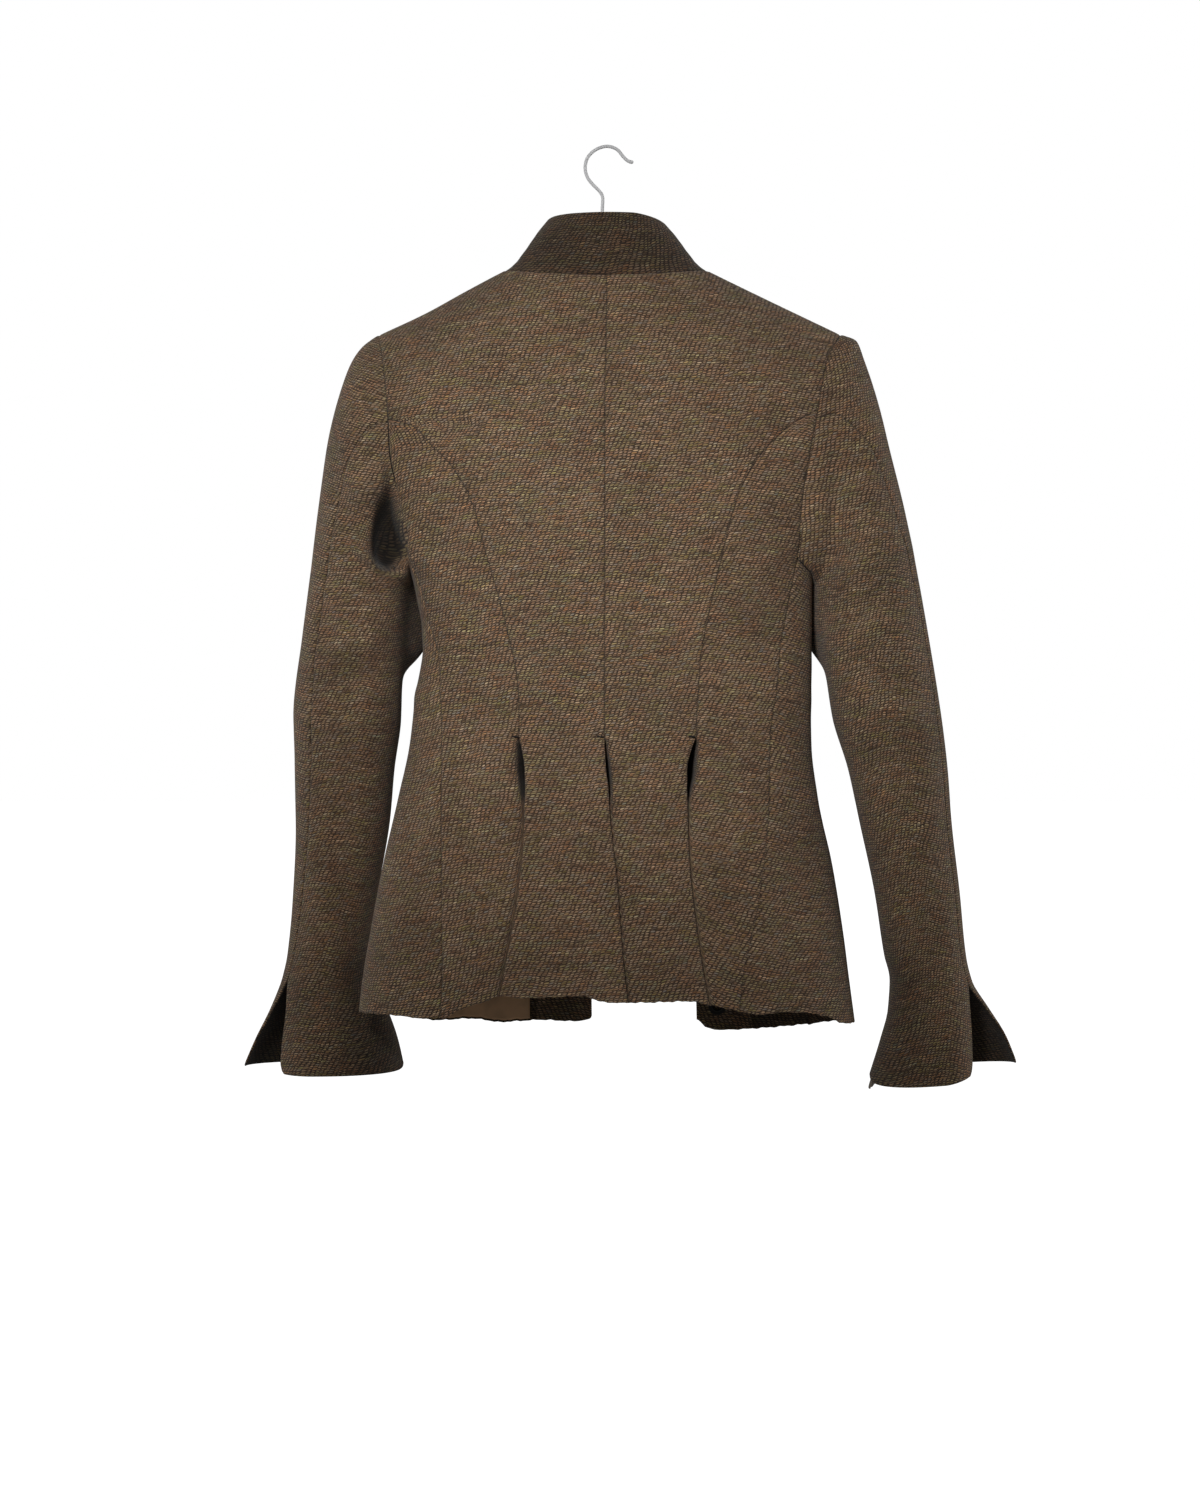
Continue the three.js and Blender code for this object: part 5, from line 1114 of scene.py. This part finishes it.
def underarm(side):
    """The piece round the side, from the side-back seam to the side-front seam."""
    width = UNDERARM_W
    places = spread(0, width, STEP, NEAR["seam"], NEAR["seam"])
    share = places / width
    a, b = underarm_angles(side, np.full_like(share, HEM_GUESS))
    low = skin(mix(a, b, share), HEM_GUESS)
    hems = hem_at(low[:, 0], low[:, 1]) + fray(places)
    tops = underarm_z(share)
    rows = round((UNDERARM_Z - 10 - HEM_GUESS) / STEP)
    z = np.stack([heights(t, h, rows) for t, h in zip(tops, hems)], -1)
    a, b = underarm_angles(side, z)
    angle = mix(a, b, share)
    sunk = groove("seam", places) + groove("seam", width - places) + groove("seam", tops - z)
    rim = groove("free", z - hems)
    p, n = skin(angle, z), skin_normal(angle, z)
    behind, ahead = (creases(BODY_CREASES, p[..., 0], z, way) for way in (1, -1))
    rise = CREASE_GAIN * mix(behind, ahead, smooth(share))
    outer = p - n * (sunk + rim - rise)[..., None]
    inner = p - n * (CLOTH - rim - rise)[..., None]
    uv = cloth_uv(outer, 0, len(NEAR_TOP), UNDERARM_V)
    way = 1 if side == "left" else -1
    uv[..., 0] *= way
    uv[..., 1] += uv[..., 0] * way * UNDERARM_TILT[side]
    uv += own_bolt()
    seam = np.minimum(np.minimum(places, width - places)[None], tops - z)
    return {"piece": shell(f"side_{side}_cloth", outer, inner, uv, "tweed", seam=seam)}


def backing(name, cloth, columns, rows, wall, slot, look=None, ripple=0):
    """A thinner cloth against the inside of a panel, made from the panel's own points."""
    part = (slice(*rows), slice(*columns))
    outer, inner = cloth["outer"][part], cloth["inner"][part]
    n = unit(inner - outer)
    base = inner + n * SEAM
    d = np.minimum(np.arange(base.shape[1]), np.arange(base.shape[1])[::-1])
    edge = np.exp(-d / 0.8) * 0.35 * wall
    wave = ripple * (1 + np.sin(cloth["uv"][part][..., 0] * 0.19 + 0.6))
    near = base + n * (edge + wave)[..., None]
    far = base + n * (wall - edge + wave)[..., None]
    uv = cloth["uv"][part] + own_bolt()
    return {"piece": shell(name + "_cloth", far, near, uv, slot, look), "outer": near, "inner": far}


# ---------- sleeves ----------
# Angles round a sleeve are degrees from its outer edge (0), over the back (90) to its inner edge
# (180) and back in front (270). Places along it, s, are shares of its length from head to cuff.
BOTTOM_FROM, BOTTOM_TO = 150, 210  # the loop's angles that lie on the underarm piece
LOOP_FADE = 0.16  # how far down the sleeve takes part in the armhole's shape
SLEEVE_GAP = -0.5
OVAL = 2.15
INNER_SEAM = 212
VENT_S = 0.935  # where the vent begins
SLEEVE_LENGTH = 640
SLEEVE_STEP, ROW_S, VENT_ROW_S = 3.0, 0.005, 0.0055  # columns, rows, and rows beside the vent
CORNER_W, CORNER_RISE = 6, 0.008  # how wide and how far the corner at the vent is drawn up
SLEEVE_W = {"under": 130, "upper": 165}  # the widths that the columns are spread over
SLEEVE_SEAM = -0.1  # by minus this angle a piece laps past its seams
START_BLEND = 0.05
HEAD_FADE = 0.05  # creases fade out over this share at the head
PUSH_OUT = 0.4  # how much a crease rises along the cloth's normal, against straight back
PIT_WAY, HOLLOW_WAY = (-0.3, 1, 0.28), (-0.12, 1, 0)  # ways in which hollows sink, left sleeve
SLACK_TURN, SLACK_SPAN = 225, 30
CUFF_TURN, CUFF_SPAN = 78, 50  # where the cuff's turned side begins and how soon its painted shade is full
HEAD_GROOVE = 0.8
GRAIN_S, GRAIN_TURN = 0.3, {"under": 90, "upper": 330}  # the row and column the grain starts from


def armhole_point(side, turn):
    key = side[0].upper()
    front = turn >= BOTTOM_TO
    tip = ARMHOLE["z"][0]
    full_drop = 1 - math.cos(math.radians(BOTTOM_FROM))
    z = tip + (SIDE_BACK_Z - tip) * np.clip((1 - np.cos(np.radians(turn))) / full_drop, 0, 1)
    behind = placed(along(ARMHOLE, "back" + key, z), z, 1, np.zeros_like(z))
    ahead = placed(along(ARMHOLE, "front" + key, z), z, -1, np.zeros_like(z))
    share = np.clip((turn - BOTTOM_FROM) / (BOTTOM_TO - BOTTOM_FROM), 0, 1)
    low = underarm_z(share)
    a, b = underarm_angles(side, low)
    bottom = skin(mix(a, b, share), low)
    rim = np.where(front[..., None], ahead, behind)
    return np.where(((turn > BOTTOM_FROM) & (turn < BOTTOM_TO))[..., None], bottom, rim)


def sleeve_section(rows, side, s, turn, outer_x=None):
    sign = 1 if side == "left" else -1
    at = {c: along(rows, c, s) for c in ("ox", "oz", "ix", "iz", "y", "half")}
    zero = np.zeros_like(at["ox"])
    real = np.stack([sign * at["ox"], zero, at["oz"]], -1)
    o = real if outer_x is None else np.stack([sign * outer_x, zero, at["oz"]], -1)
    i = np.stack([sign * at["ix"], zero, at["iz"]], -1)
    centre = (real + i) / 2
    c, sn = np.cos(np.radians(turn)), np.sin(np.radians(turn))
    reach = np.where((c > 0)[..., None], o - centre, centre - i)
    p = centre + reach * power(c, 2 / OVAL)[..., None]
    p[..., 1] = at["y"] + at["half"] * power(sn, 2 / OVAL)
    return p


def sleeve_point(rows, side, s, turn, outer_x=None):
    sign = 1 if side == "left" else -1
    s = np.clip(s, 0, 1)
    p = sleeve_section(rows, side, s, turn, outer_x)
    want = armhole_point(side, np.mod(turn, 360)) + np.array([sign * SLEEVE_GAP, 0, 0])
    off = want - sleeve_section(rows, side, np.zeros_like(s), turn)
    return p + off * (np.maximum(0, 1 - s / LOOP_FADE) ** 2)[..., None]


def grid_normals(grid, like):
    """Normals of a grid of points, on the side of a first guess."""
    n = unit(np.cross(np.gradient(grid, axis=0), np.gradient(grid, axis=1)))
    return n * np.where((n * like).sum(-1) < 0, -1, 1)[..., None]


def grain_uv(p, facing, axis, row, column):
    """Lengths across and along an axis on a grid of points: along one row, then up and down the
    columns."""
    n = grid_normals(p, facing)
    across = unit(np.cross(axis, n) + 1e-3)
    up = np.cross(n, across)
    parts = []
    for way in (across, up):
        side = (np.diff(p[row], axis=0) * (way[row, :-1] + way[row, 1:]) / 2).sum(-1)
        side = np.concatenate([[0], np.cumsum(side)])
        down = (np.diff(p, axis=0) * (way[:-1] + way[1:]) / 2).sum(-1)
        down = np.pad(np.cumsum(down, axis=0), ((1, 0), (0, 0)))
        parts.append(down - down[row] + side - side[column])
    return np.stack(parts, -1)


def sleeve(side, under):
    rows = SLEEVE_L if side == "left" else SLEEVE_R
    sign = 1 if side == "left" else -1
    key = side[0].upper()
    near_top = np.array(NEAR_TOP) / SLEEVE_LENGTH
    near_cuff = np.array(NEAR_HEM[::-1]) / SLEEVE_LENGTH
    s = spread(0, VENT_S, ROW_S, near_top, (0,))
    s = np.concatenate([s, spread(VENT_S, 1, VENT_ROW_S, (0,), near_cuff)[1:]])
    word = "under" if under else "upper"
    width = SLEEVE_W[word]
    places = spread(0, width, SLEEVE_STEP, NEAR["seam"], NEAR["seam"])
    d_vent, d_seam = (places, width - places) if under else (width - places, places)
    s, share = np.meshgrid(s, places / width, indexing="ij")
    opened = s > VENT_S
    seam = along(rows, "seam", s)
    vent = along(VENT, word + key, s)
    outer_x = np.where(opened, vent, along(rows, "ox", s)) if under else None
    start, stop = (seam, INNER_SEAM) if under else (INNER_SEAM, 360 + np.where(opened, vent, seam))
    turn = mix(start + SLEEVE_SEAM, stop - SLEEVE_SEAM, share)
    corner = np.clip(1 - d_vent / CORNER_W, 0, 1) ** 2 * smooth((s - 0.96) / 0.04)
    p = sleeve_point(rows, side, s - CORNER_RISE * corner, turn, outer_x)
    if under:
        drop = along(VENT, "drop" + key, s) * np.sqrt(np.maximum(0, np.sin(np.radians(turn))))
        p[..., 2] -= np.where(opened, drop, 0)

    def middle_of(at):
        return sum(sleeve_section(rows, side, at, np.full_like(at, edge)) for edge in (0, 180)) / 2

    def across(ds, dt):
        ends = (sleeve_point(rows, side, s + way * ds, turn + way * dt, outer_x) for way in (1, -1))
        return np.subtract(*ends)

    def ridges(rows):
        return creases(rows[side], sign * p[..., 0], p[..., 2])

    own = unit(np.cross(across(0.004, 0), across(0, 1.5)))
    away = p - middle_of(s)
    away[..., 1] = p[..., 1] - along(rows, "y", s)
    own = own * np.where((own * away).sum(-1) < 0, -1, 1)[..., None]
    plane = unit(away * np.array([0, 1, 1]))
    own = unit(mix(own, plane, (1 - np.clip(s / START_BLEND, 0, 1))[..., None]))
    facing = np.maximum(0, own[..., 1])
    start_fade = smooth(s / HEAD_FADE)
    fade = start_fade * facing**0.7
    lift = CREASE_GAIN * ridges(SLEEVE_CREASES) * fade
    push = unit(own * PUSH_OUT + np.array([0, 1, 0]))
    p = p + push * lift[..., None]
    hollow = ridges(SLEEVE_HOLLOWS) * smooth(facing * 3) * smooth(s / 0.03)
    flat, shade, mirror = p, np.ones_like(s), np.array([sign, 1, 1])
    if SLEEVE_PITS[side]:
        cx, cz, a, b, lean, depth = SLEEVE_PITS[side]
        away_x = (sign * p[..., 0] - cx - lean * (p[..., 2] - cz)) / a
        off = away_x**2 + ((p[..., 2] - cz) / b) ** 2
        pit = depth * np.exp(-(off**2)) * smooth(facing * 3) * smooth(s * SLEEVE_LENGTH / 9)
        p = p - mirror * PIT_WAY * pit[..., None]
        # Painted shade that deepens towards the bottom of the pocket.
        shade = 1 - PIT_PAINTED_SHADE * smooth(1.3 * pit / depth)
    p = p + mirror * HOLLOW_WAY * hollow[..., None]
    middle_z, reach_z, fill = SLACK[side]
    way = np.mod(turn, 360)
    window = np.exp(-(((p[..., 2] - middle_z) / reach_z) ** 4))
    window = window * np.exp(-(((way - SLACK_TURN) / SLACK_SPAN) ** 2))
    p[..., 0] -= sign * fill * window * start_fade
    # Painted shade where the slack cloth lies against the body.
    shade = shade * (1 - SLACK_PAINTED_SHADE[side] * np.sqrt(window))
    # Painted shade on the cuff's side that turns towards the body.
    turned = smooth((way - CUFF_TURN) / CUFF_SPAN) * smooth((s - 0.85) / 0.08)
    shade = shade * (1 - CUFF_PAINTED_SHADE[side] * turned)
    ahead = np.maximum(0, -own[..., 1])
    front = ridges(SLEEVE_FRONT_CREASES) * ahead * start_fade
    p = p + own * front[..., None]
    n = grid_normals(p, own)
    lead = s[:, :1] * SLEEVE_LENGTH
    sunk = groove("seam", d_seam) + np.where(opened, groove("free", d_vent), groove("seam", d_vent))
    sunk = sunk + HEAD_GROOVE * groove("seam", lead)
    hem_rim = groove("free", (1 - s) * SLEEVE_LENGTH)
    rim = np.maximum(hem_rim, np.where(opened, groove("free", d_vent), 0))
    outer = p - n * (sunk + hem_rim)[..., None]
    inner = p - n * (CLOTH - rim)[..., None]
    low = np.clip(s[:, :1], 0.25, 0.9)
    axis = unit(middle_of(low - 0.1) - middle_of(low + 0.1))
    row, middle = np.argmin(np.abs(s[:, 0] - GRAIN_S)), np.argmin(np.abs(turn[0] - GRAIN_TURN[word]))
    uv = grain_uv(mix(flat, p, 0.5), own, axis, int(row), int(middle))
    uv[..., 1] += uv[..., 0] * SLEEVE_GRAIN[side][word]
    uv += own_bolt()
    seam = np.minimum(np.minimum(lead, d_seam[None]), np.where(opened, FAR_OFF, d_vent[None]))
    piece = shell(f"{word}_sleeve_{side}_cloth", outer, inner, uv, "tweed", seam=seam, shade=shade)
    return {"piece": piece, "outer": outer, "inner": inner, "share": share[0]}


# A corner of the sleeve's lining that hangs out below the right cuff, by its inner edge.
TAB = {"from": 0.807, "to": 0.965, "above": 10, "below": 11, "thick": 1.2, "lift": 2.2, "wide": 24}
TAB_COLS, TAB_ROWS = 15, 16


def lining_tab(cloth):
    shares = np.linspace(TAB["to"], TAB["from"], TAB_COLS)
    f = np.linspace(0, 1, TAB_COLS)

    def at(row, grid):
        return np.stack([np.interp(shares, cloth["share"], grid[row, :, k]) for k in range(3)], -1)

    hem_o, hem_i = at(-1, cloth["outer"]), at(-1, cloth["inner"])
    up = unit(at(-12, cloth["outer"]) - hem_o)
    n = unit(at(-8, cloth["inner"]) - at(-8, cloth["outer"]))
    corner = np.clip(np.abs(2 * f - 1) - 0.6, 0, 1) * TAB["lift"] * 2.5
    reach = np.linspace(TAB["above"], -TAB["below"], TAB_ROWS)
    t = np.linspace(0, 1, TAB_ROWS)[:, None]
    drop = reach[:, None] + corner * t**3
    wave = 0.5 * np.sin(9 * f)[None, :] * t
    base = mix(hem_o, hem_i, 0.5) + n * (CLOTH / 2 + SEAM)
    grid = base[None] + up[None] * drop[..., None] + n[None] * wave[..., None]
    k = np.arange(TAB_COLS)
    edge = np.minimum(np.minimum(k, k[::-1])[None], np.arange(TAB_ROWS)[::-1][:, None])
    roll = 0.4 * np.exp(-edge / 0.6)
    first = grid + n[None] * roll[..., None]
    second = grid + n[None] * (TAB["thick"] - roll)[..., None]
    uv = np.stack(np.meshgrid(f * TAB["wide"], -reach), -1)
    return shell("cuff_lining_tab_cloth", second, first, uv, "cuff_lining")


# ---------- collar ----------
SHOULDER_WAY = 0.29
NECK_FROM, NECK_TO = -180.0, -177.0  # heights where the neck edge meets the front edges
COLLAR_LIFT, COLLAR_H = -0.8, 62
COLLAR_RISE = (0, 0.07, 0.2, 0.45, 0.65, 0.8, 0.93, 1)
COLLAR_IN = (0, 0.16, 0.35, 0.6, 0.75, 0.85, 0.95, 1)


def neck_line():
    """The neck edge from the left front round the back to the right front."""
    left = np.linspace(along(FRONT_EDGE, "left", NECK_FROM), NECK_X, 24)
    right = np.linspace(-NECK_X, along(FRONT_EDGE, "right", NECK_TO), 18)
    back = np.linspace(NECK_X, -NECK_X, 64)[1:-1]
    parts = [
        placed(left, front_top(left * 0.9999), -1, np.zeros_like(left)),
        placed(back, back_top(back), 1, np.zeros_like(back)),
        placed(right, front_top(right * 0.9999), -1, np.zeros_like(right)),
    ]
    line = np.concatenate(parts)
    length = way_along(line)
    places = spread(0, length[-1], 3.2, FREE_NEAR, FREE_NEAR)
    return points_at(places, length, line), places, length[-1]


def collar():
    points, places, total = neck_line()
    x = points[:, 0]
    marks = [0, places[np.argmax(x)], np.interp(0, -x, places), places[np.argmin(x)], total]
    way = np.interp(places, marks, [0, SHOULDER_WAY, 0.5, 1 - SHOULDER_WAY, 1])
    rise = spread(0, COLLAR_H, 3.0, NEAR_TOP, FREE_NEAR) / COLLAR_H
    base = points.copy()
    base[:, 2] += COLLAR_LIFT
    top = np.stack([along(COLLAR, c, way) for c in ("x", "y", "z")], -1)
    going_in = np.interp(rise, COLLAR_RISE, COLLAR_IN)[:, None, None] * np.array([1, 1, 0])
    p = mix(base[None], top[None], going_in + rise[:, None, None] * np.array([0, 0, 1]))
    out = unit(p * np.array([1, 1, 0]))
    swell = along(COLLAR, "swell", way)[None] * np.sin(np.pi * rise)[:, None]
    swell = swell + COLLAR_SWELL * np.sin(np.pi * rise)[:, None] * np.sin(np.pi * way)[None] ** 2
    p = p + out * swell[..., None]
    like = p * np.array([1, 1, 0]) + np.array([0, 8, 20])
    n = grid_normals(p, like)
    d = np.minimum(places, total - places)
    rim = np.maximum(groove("free", d)[None], groove("free", (1 - rise) * COLLAR_H)[:, None])
    sunk = 0.4 * groove("seam", rise * COLLAR_H)[:, None]
    outer = p - n * (rim + sunk)[..., None]
    inner = p - n * (CLOTH - rim)[..., None]
    across = np.linalg.norm(np.diff(outer, axis=1), axis=-1).mean(0)
    u = np.concatenate([[0], np.cumsum(across)])
    v = np.pad(np.cumsum(np.linalg.norm(np.diff(outer, axis=0), axis=-1), axis=0), ((1, 0), (0, 0)))
    uv = np.stack([np.broadcast_to(u - u[-1] / 2, v.shape), v], -1) + own_bolt()
    seam = np.broadcast_to((rise * COLLAR_H)[:, None], v.shape)
    return shell("stand_collar_cloth", outer, inner, uv, "tweed_dark", seam=seam)


# ---------- small pieces ----------
WIRE_D, BAR_HALF_T, BAR_H, BAR_REACH, BAR_END = 2.8, 5.0, 22.0, 180.0, 0.93
TICK_LONG, TICK_R = 5.8, 0.6
STUD_PROFILE = np.array([  # radius and height round the ring
    (3.4, 0), (8.0, 0), (8.0, 0.5), (7.75, 1.1), (7.2, 1.5), (6.6, 1.55), (6.0, 1.3), (5.4, 1.35),
    (5.0, 1.9), (4.5, 2.2), (3.9, 2.1), (3.5, 1.6),
])


def round_turns(sides):
    return 2 * np.pi * np.arange(sides) / sides


def ring(name, centre, axis, sides=40):
    across = unit(np.cross([0, 0, 1.0], axis))
    up = np.cross(axis, across)
    turn = round_turns(sides)[:, None]
    out = across * np.cos(turn) + up * np.sin(turn)
    points = centre + out[:, None] * STUD_PROFILE[:, :1] + axis * STUD_PROFILE[:, 1:]
    ids = np.arange(sides * len(STUD_PROFILE)).reshape(sides, -1)
    after, past = np.roll(ids, -1, axis=1), np.roll(ids, -1, axis=0)
    faces = np.stack([ids, after, np.roll(past, -1, axis=1), past], -1).reshape(-1, 4).tolist()
    return mesh_piece(name, points.reshape(-1, 3), faces, "stud_metal")


def studs(grid, word, way):
    """Four rings that lie on a grid of points, where the solids have them."""
    for k in range(1, 5):
        node = f"stud_{word}_{k}"
        low, high = (np.array(c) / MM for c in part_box(node))
        centre = (low + high) / 2
        i = np.argmin(((grid - centre) ** 2 @ np.array([1, 4, 1])).ravel())
        r, c = divmod(i, grid.shape[1])
        r, c = np.clip(r, 2, grid.shape[0] - 3), np.clip(c, 2, grid.shape[1] - 3)
        n = unit(np.cross(grid[r + 2, c] - grid[r - 2, c], grid[r, c + 2] - grid[r, c - 2]))
        n = n * (-1 if n[1] * way < 0 else 1)
        seat = centre - n * np.dot(centre - grid[r, c], n)
        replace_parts(ring(node + "_ring", seat + n * SEAM, n), node)


def wire(name, path, radius, sides, slot):
    """A round wire along a path in the plane y = 0, with rounded ends and a ball at its start."""
    side = np.array([0, 1.0, 0])
    up = unit(np.cross(unit(np.gradient(path, axis=0)), side))
    length = way_along(path)
    full = radius
    for away in (length, length[-1] - length):
        full = full * np.sqrt(np.maximum(1 - np.clip(1 - away / radius, 0, 1) ** 2, 0.02))
    full = full * (1 + 0.12 * np.exp(-((length / 2.2 - 0.8) ** 2)))
    turn = round_turns(sides)[None, :, None]
    out = np.cos(turn) * side + np.sin(turn) * up[:, None]
    return rod(name, path[:, None] + full[:, None, None] * out, slot)


def curve_through(rows):
    """A smooth curve through points of the plane y = 0, evenly spaced. Centripetal steps keep it
    from overshooting at short spans."""
    xs, zs = rows["x"], rows["z"]
    p = np.stack([xs, np.zeros_like(xs), zs], -1)
    p = np.concatenate([[2 * p[0] - p[1]], p, [2 * p[-1] - p[-2]]])
    fine = []
    for k in range(1, len(p) - 2):
        a, b, c, d = p[k - 1 : k + 3]
        t = np.cumsum([0] + [max(np.linalg.norm(q - r), 1e-6) ** 0.5 for q, r in ((b, a), (c, b), (d, c))])
        f = np.linspace(t[1], t[2], 40, endpoint=False)[:, None]

        def between(i, p, j, q):
            return (t[j] - f) / (t[j] - t[i]) * p + (f - t[i]) / (t[j] - t[i]) * q

        a2 = between(1, b, 2, c)
        near, far = between(0, between(0, a, 1, b), 2, a2), between(1, a2, 3, between(2, c, 3, d))
        fine.append(between(1, near, 2, far))
    fine = np.concatenate(fine + [p[-2][None]])
    length = way_along(fine)
    return points_at(spread(0, length[-1], 1.0, (0, 0.15, 0.4, 0.8, 1.4), (0, 0.4)), length, fine)


def hanger_bar():
    bent = BAR_END + (1 - BAR_END) * np.sin(np.linspace(0, 1, 12)[1:] * np.pi / 2)
    shares = np.concatenate([np.linspace(0, BAR_END, 60), bent])
    places = np.concatenate([-shares[:0:-1], shares])
    middle = BAR["x"][0]
    x = middle + places * (BAR_REACH - middle)
    line = along(BAR, "z", np.abs(x - middle) + middle)
    past = np.clip((np.abs(places) - BAR_END) / (1 - BAR_END), 0, 0.97)
    full = np.sqrt(1 - past**2)[:, None]
    turn = round_turns(28)
    y = full * BAR_HALF_T * power(np.cos(turn), 0.75)
    down = 0.5 - 0.5 * power(np.sin(turn), 0.85)
    z = line[:, None] - BAR_H * ((1 - full) / 2 + down * full)
    rings = np.stack([np.broadcast_to(x[:, None], y.shape), y, z], -1)
    return rod("hanger_bar_round", rings, "hanger_finish")


def tick(name, x, z, cloth):
    """A thread stitch that lies across the top of a pleat."""
    places = np.linspace(-0.5, 0.5, 15)
    flat = cloth["outer"].reshape(-1, 3)
    y = flat[(flat[:, 0] - x) ** 2 + (flat[:, 2] - z) ** 2 < 25, 1].max()
    arch = 0.25 + 0.5 * np.sqrt(np.maximum(0, 1 - (2 * places) ** 2))
    path = np.stack([x + places * TICK_LONG, y + arch, z + 0.25 * np.sin(places * 5)], -1)
    turn = round_turns(8)
    full = TICK_R * np.sqrt(np.maximum(0.05, 1 - (2 * np.abs(places)) ** 6))
    rings = path[:, None] + full[:, None, None] * np.stack([0 * turn, np.cos(turn), np.sin(turn)], -1)
    return rod(name, rings, "tweed_dark", "thread")


# ---------- the jacket ----------
def rows_below(cloth, z):
    return int(np.argmax(cloth["outer"][:, :, 2].mean(1) < z))


cloths = body()
for node, cloth in cloths.items():
    declare(cloth["piece"], node, "hanger_bar")

facing_cols = len(NEAR["free"])
front_l, front_r = cloths["front_left"], cloths["front_right"]
wide_l = front_l["outer"].shape[1]
facing_top, lining_top = PRINCESS_TOP["left"], SIDE_BACK_Z
inside_l = (rows_below(front_l, facing_top), -3)
inside_r = (rows_below(front_r, facing_top), -3)
backings = (
    ("facing_left", front_l, (wide_l - facing_cols, wide_l), inside_l, FACING_T, "tweed_dark", "facing"),
    ("facing_right", front_r, (0, facing_cols), inside_r, FACING_T, "tweed_dark", "facing"),
    ("lining_left", front_l, (3, wide_l - facing_cols - 1), (rows_below(front_l, lining_top), -4), LINING,
     "lining", "lining", 0.5),
)
for node, *rest in backings:
    cloths[node] = backing(node, *rest)
for node, *_ in backings:
    declare(cloths[node]["piece"], node, "front_left_cloth" if "left" in node else "front_right_cloth")
studs(cloths["facing_right"]["inner"], "right", 1)
studs(front_l["outer"], "left", -1)

for side in ("left", "right"):
    for word in ("upper", "under"):
        cloth = sleeve(side, word == "under")
        declare(cloth["piece"], f"{word}_sleeve_{side}", "hanger_bar")
declare(lining_tab(cloth), "cuff_lining_tab", "under_sleeve_right_cloth")
declare(collar(), "stand_collar", "hanger_bar")

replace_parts(wire("hook_wire", curve_through(HOOK), WIRE_D / 2, 24, "hook_steel"), "hook")
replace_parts(hanger_bar(), "hanger_bar")
TICKS = (("left", "back_left", 3.2), ("centre", "back_left", 3.6), ("right", "back_right", 3.4))
for key, node, off in TICKS:
    x = float(along(PLEATS, "fold_" + key, PLEAT_Z - 1.0))
    tick(f"pleat_tick_{key}", x + off, PLEAT_Z + 0.4, cloths[node])

# ---------- floor, light and camera, m ----------
FILL = 0.16
LAMPS = (  # name, place, target, size, watts
    ("rim left", (1.5, -0.3, -0.35), (0.25, 0, -0.42), 0.7, 3.5),
    ("rim right", (-1.5, -0.3, -0.35), (-0.25, 0, -0.42), 0.7, 5),
)
SPOT = {"place": (0.5, 2.2, 0.35), "target": (0.0, 0, -0.345), "watts": 163, "reach": 0.52, "soft": 0.28}
CAMERA_PLACE, LENS = (0.00507, 3.3, -0.5087), 93.73
FLOOR_Z, FLOOR_FAR = -1.35, 60.0


def put(name, data, place, target=None):
    """An object of the studio at a place, turned to look at a target."""
    item = bpy.data.objects.new(name, data)
    bpy.context.scene.collection.objects.link(item)
    item.location = place
    if target:
        way = mathutils.Vector(target) - mathutils.Vector(place)
        item.rotation_euler = way.to_track_quat("-Z", "Y").to_euler()
    return item


g = new_material("White ground")
soft = g.noise(g.node("ShaderNodeTexCoord", output="Object"), 2.0, 1.0)
white = g.blend(soft, srgb(250, 250, 250), srgb(255, 255, 255))
mesh = bpy.data.meshes.new("ground")
corners = [(x * FLOOR_FAR, y * FLOOR_FAR, FLOOR_Z) for x, y in ((-1, -1), (1, -1), (1, 1), (-1, 1))]
mesh.from_pydata(corners, [], [(0, 1, 2, 3)])
mesh.materials.append(g.finish(white, Roughness=1.0, Emission_Color=(1, 1, 1, 1), Emission_Strength=1.0))
ground = put("ground", mesh, (0, 0, 0))
ground.visible_diffuse = ground.visible_glossy = False

world = bpy.context.scene.world = bpy.data.worlds.new("Studio")
g = Graph(world)
seen = g.node("ShaderNodeBackground", {0: (1, 1, 1, 1), 1: 1.0})
fill = g.node("ShaderNodeBackground", {1: FILL})
rays = g.node("ShaderNodeLightPath", output="Is Camera Ray")
g.node("ShaderNodeOutputWorld", {0: g.node("ShaderNodeMixShader", {0: rays, 1: fill, 2: seen})})

for name, place, target, size, watts in LAMPS:
    light = bpy.data.lights.new(name, "AREA")
    light.energy, light.size = watts, size
    put(name, light, place, target)

key = bpy.data.lights.new("key", "SPOT")
key.energy, key.shadow_soft_size, key.spot_blend = SPOT["watts"], SPOT["soft"], 1.0
key.spot_size = 2 * math.atan(SPOT["reach"] / math.dist(SPOT["target"], SPOT["place"]))
put("key", key, SPOT["place"], SPOT["target"])

camera = bpy.data.cameras.new("camera")
camera.lens, camera.sensor_width, camera.sensor_fit = LENS, 36, "AUTO"
camera.clip_start, camera.clip_end = 0.1, 200
eye = put("camera", camera, CAMERA_PLACE)
eye.rotation_euler = (math.pi / 2, 0, math.pi)
bpy.context.scene.camera = eye
bpy.context.scene.view_settings.view_transform = "Standard"
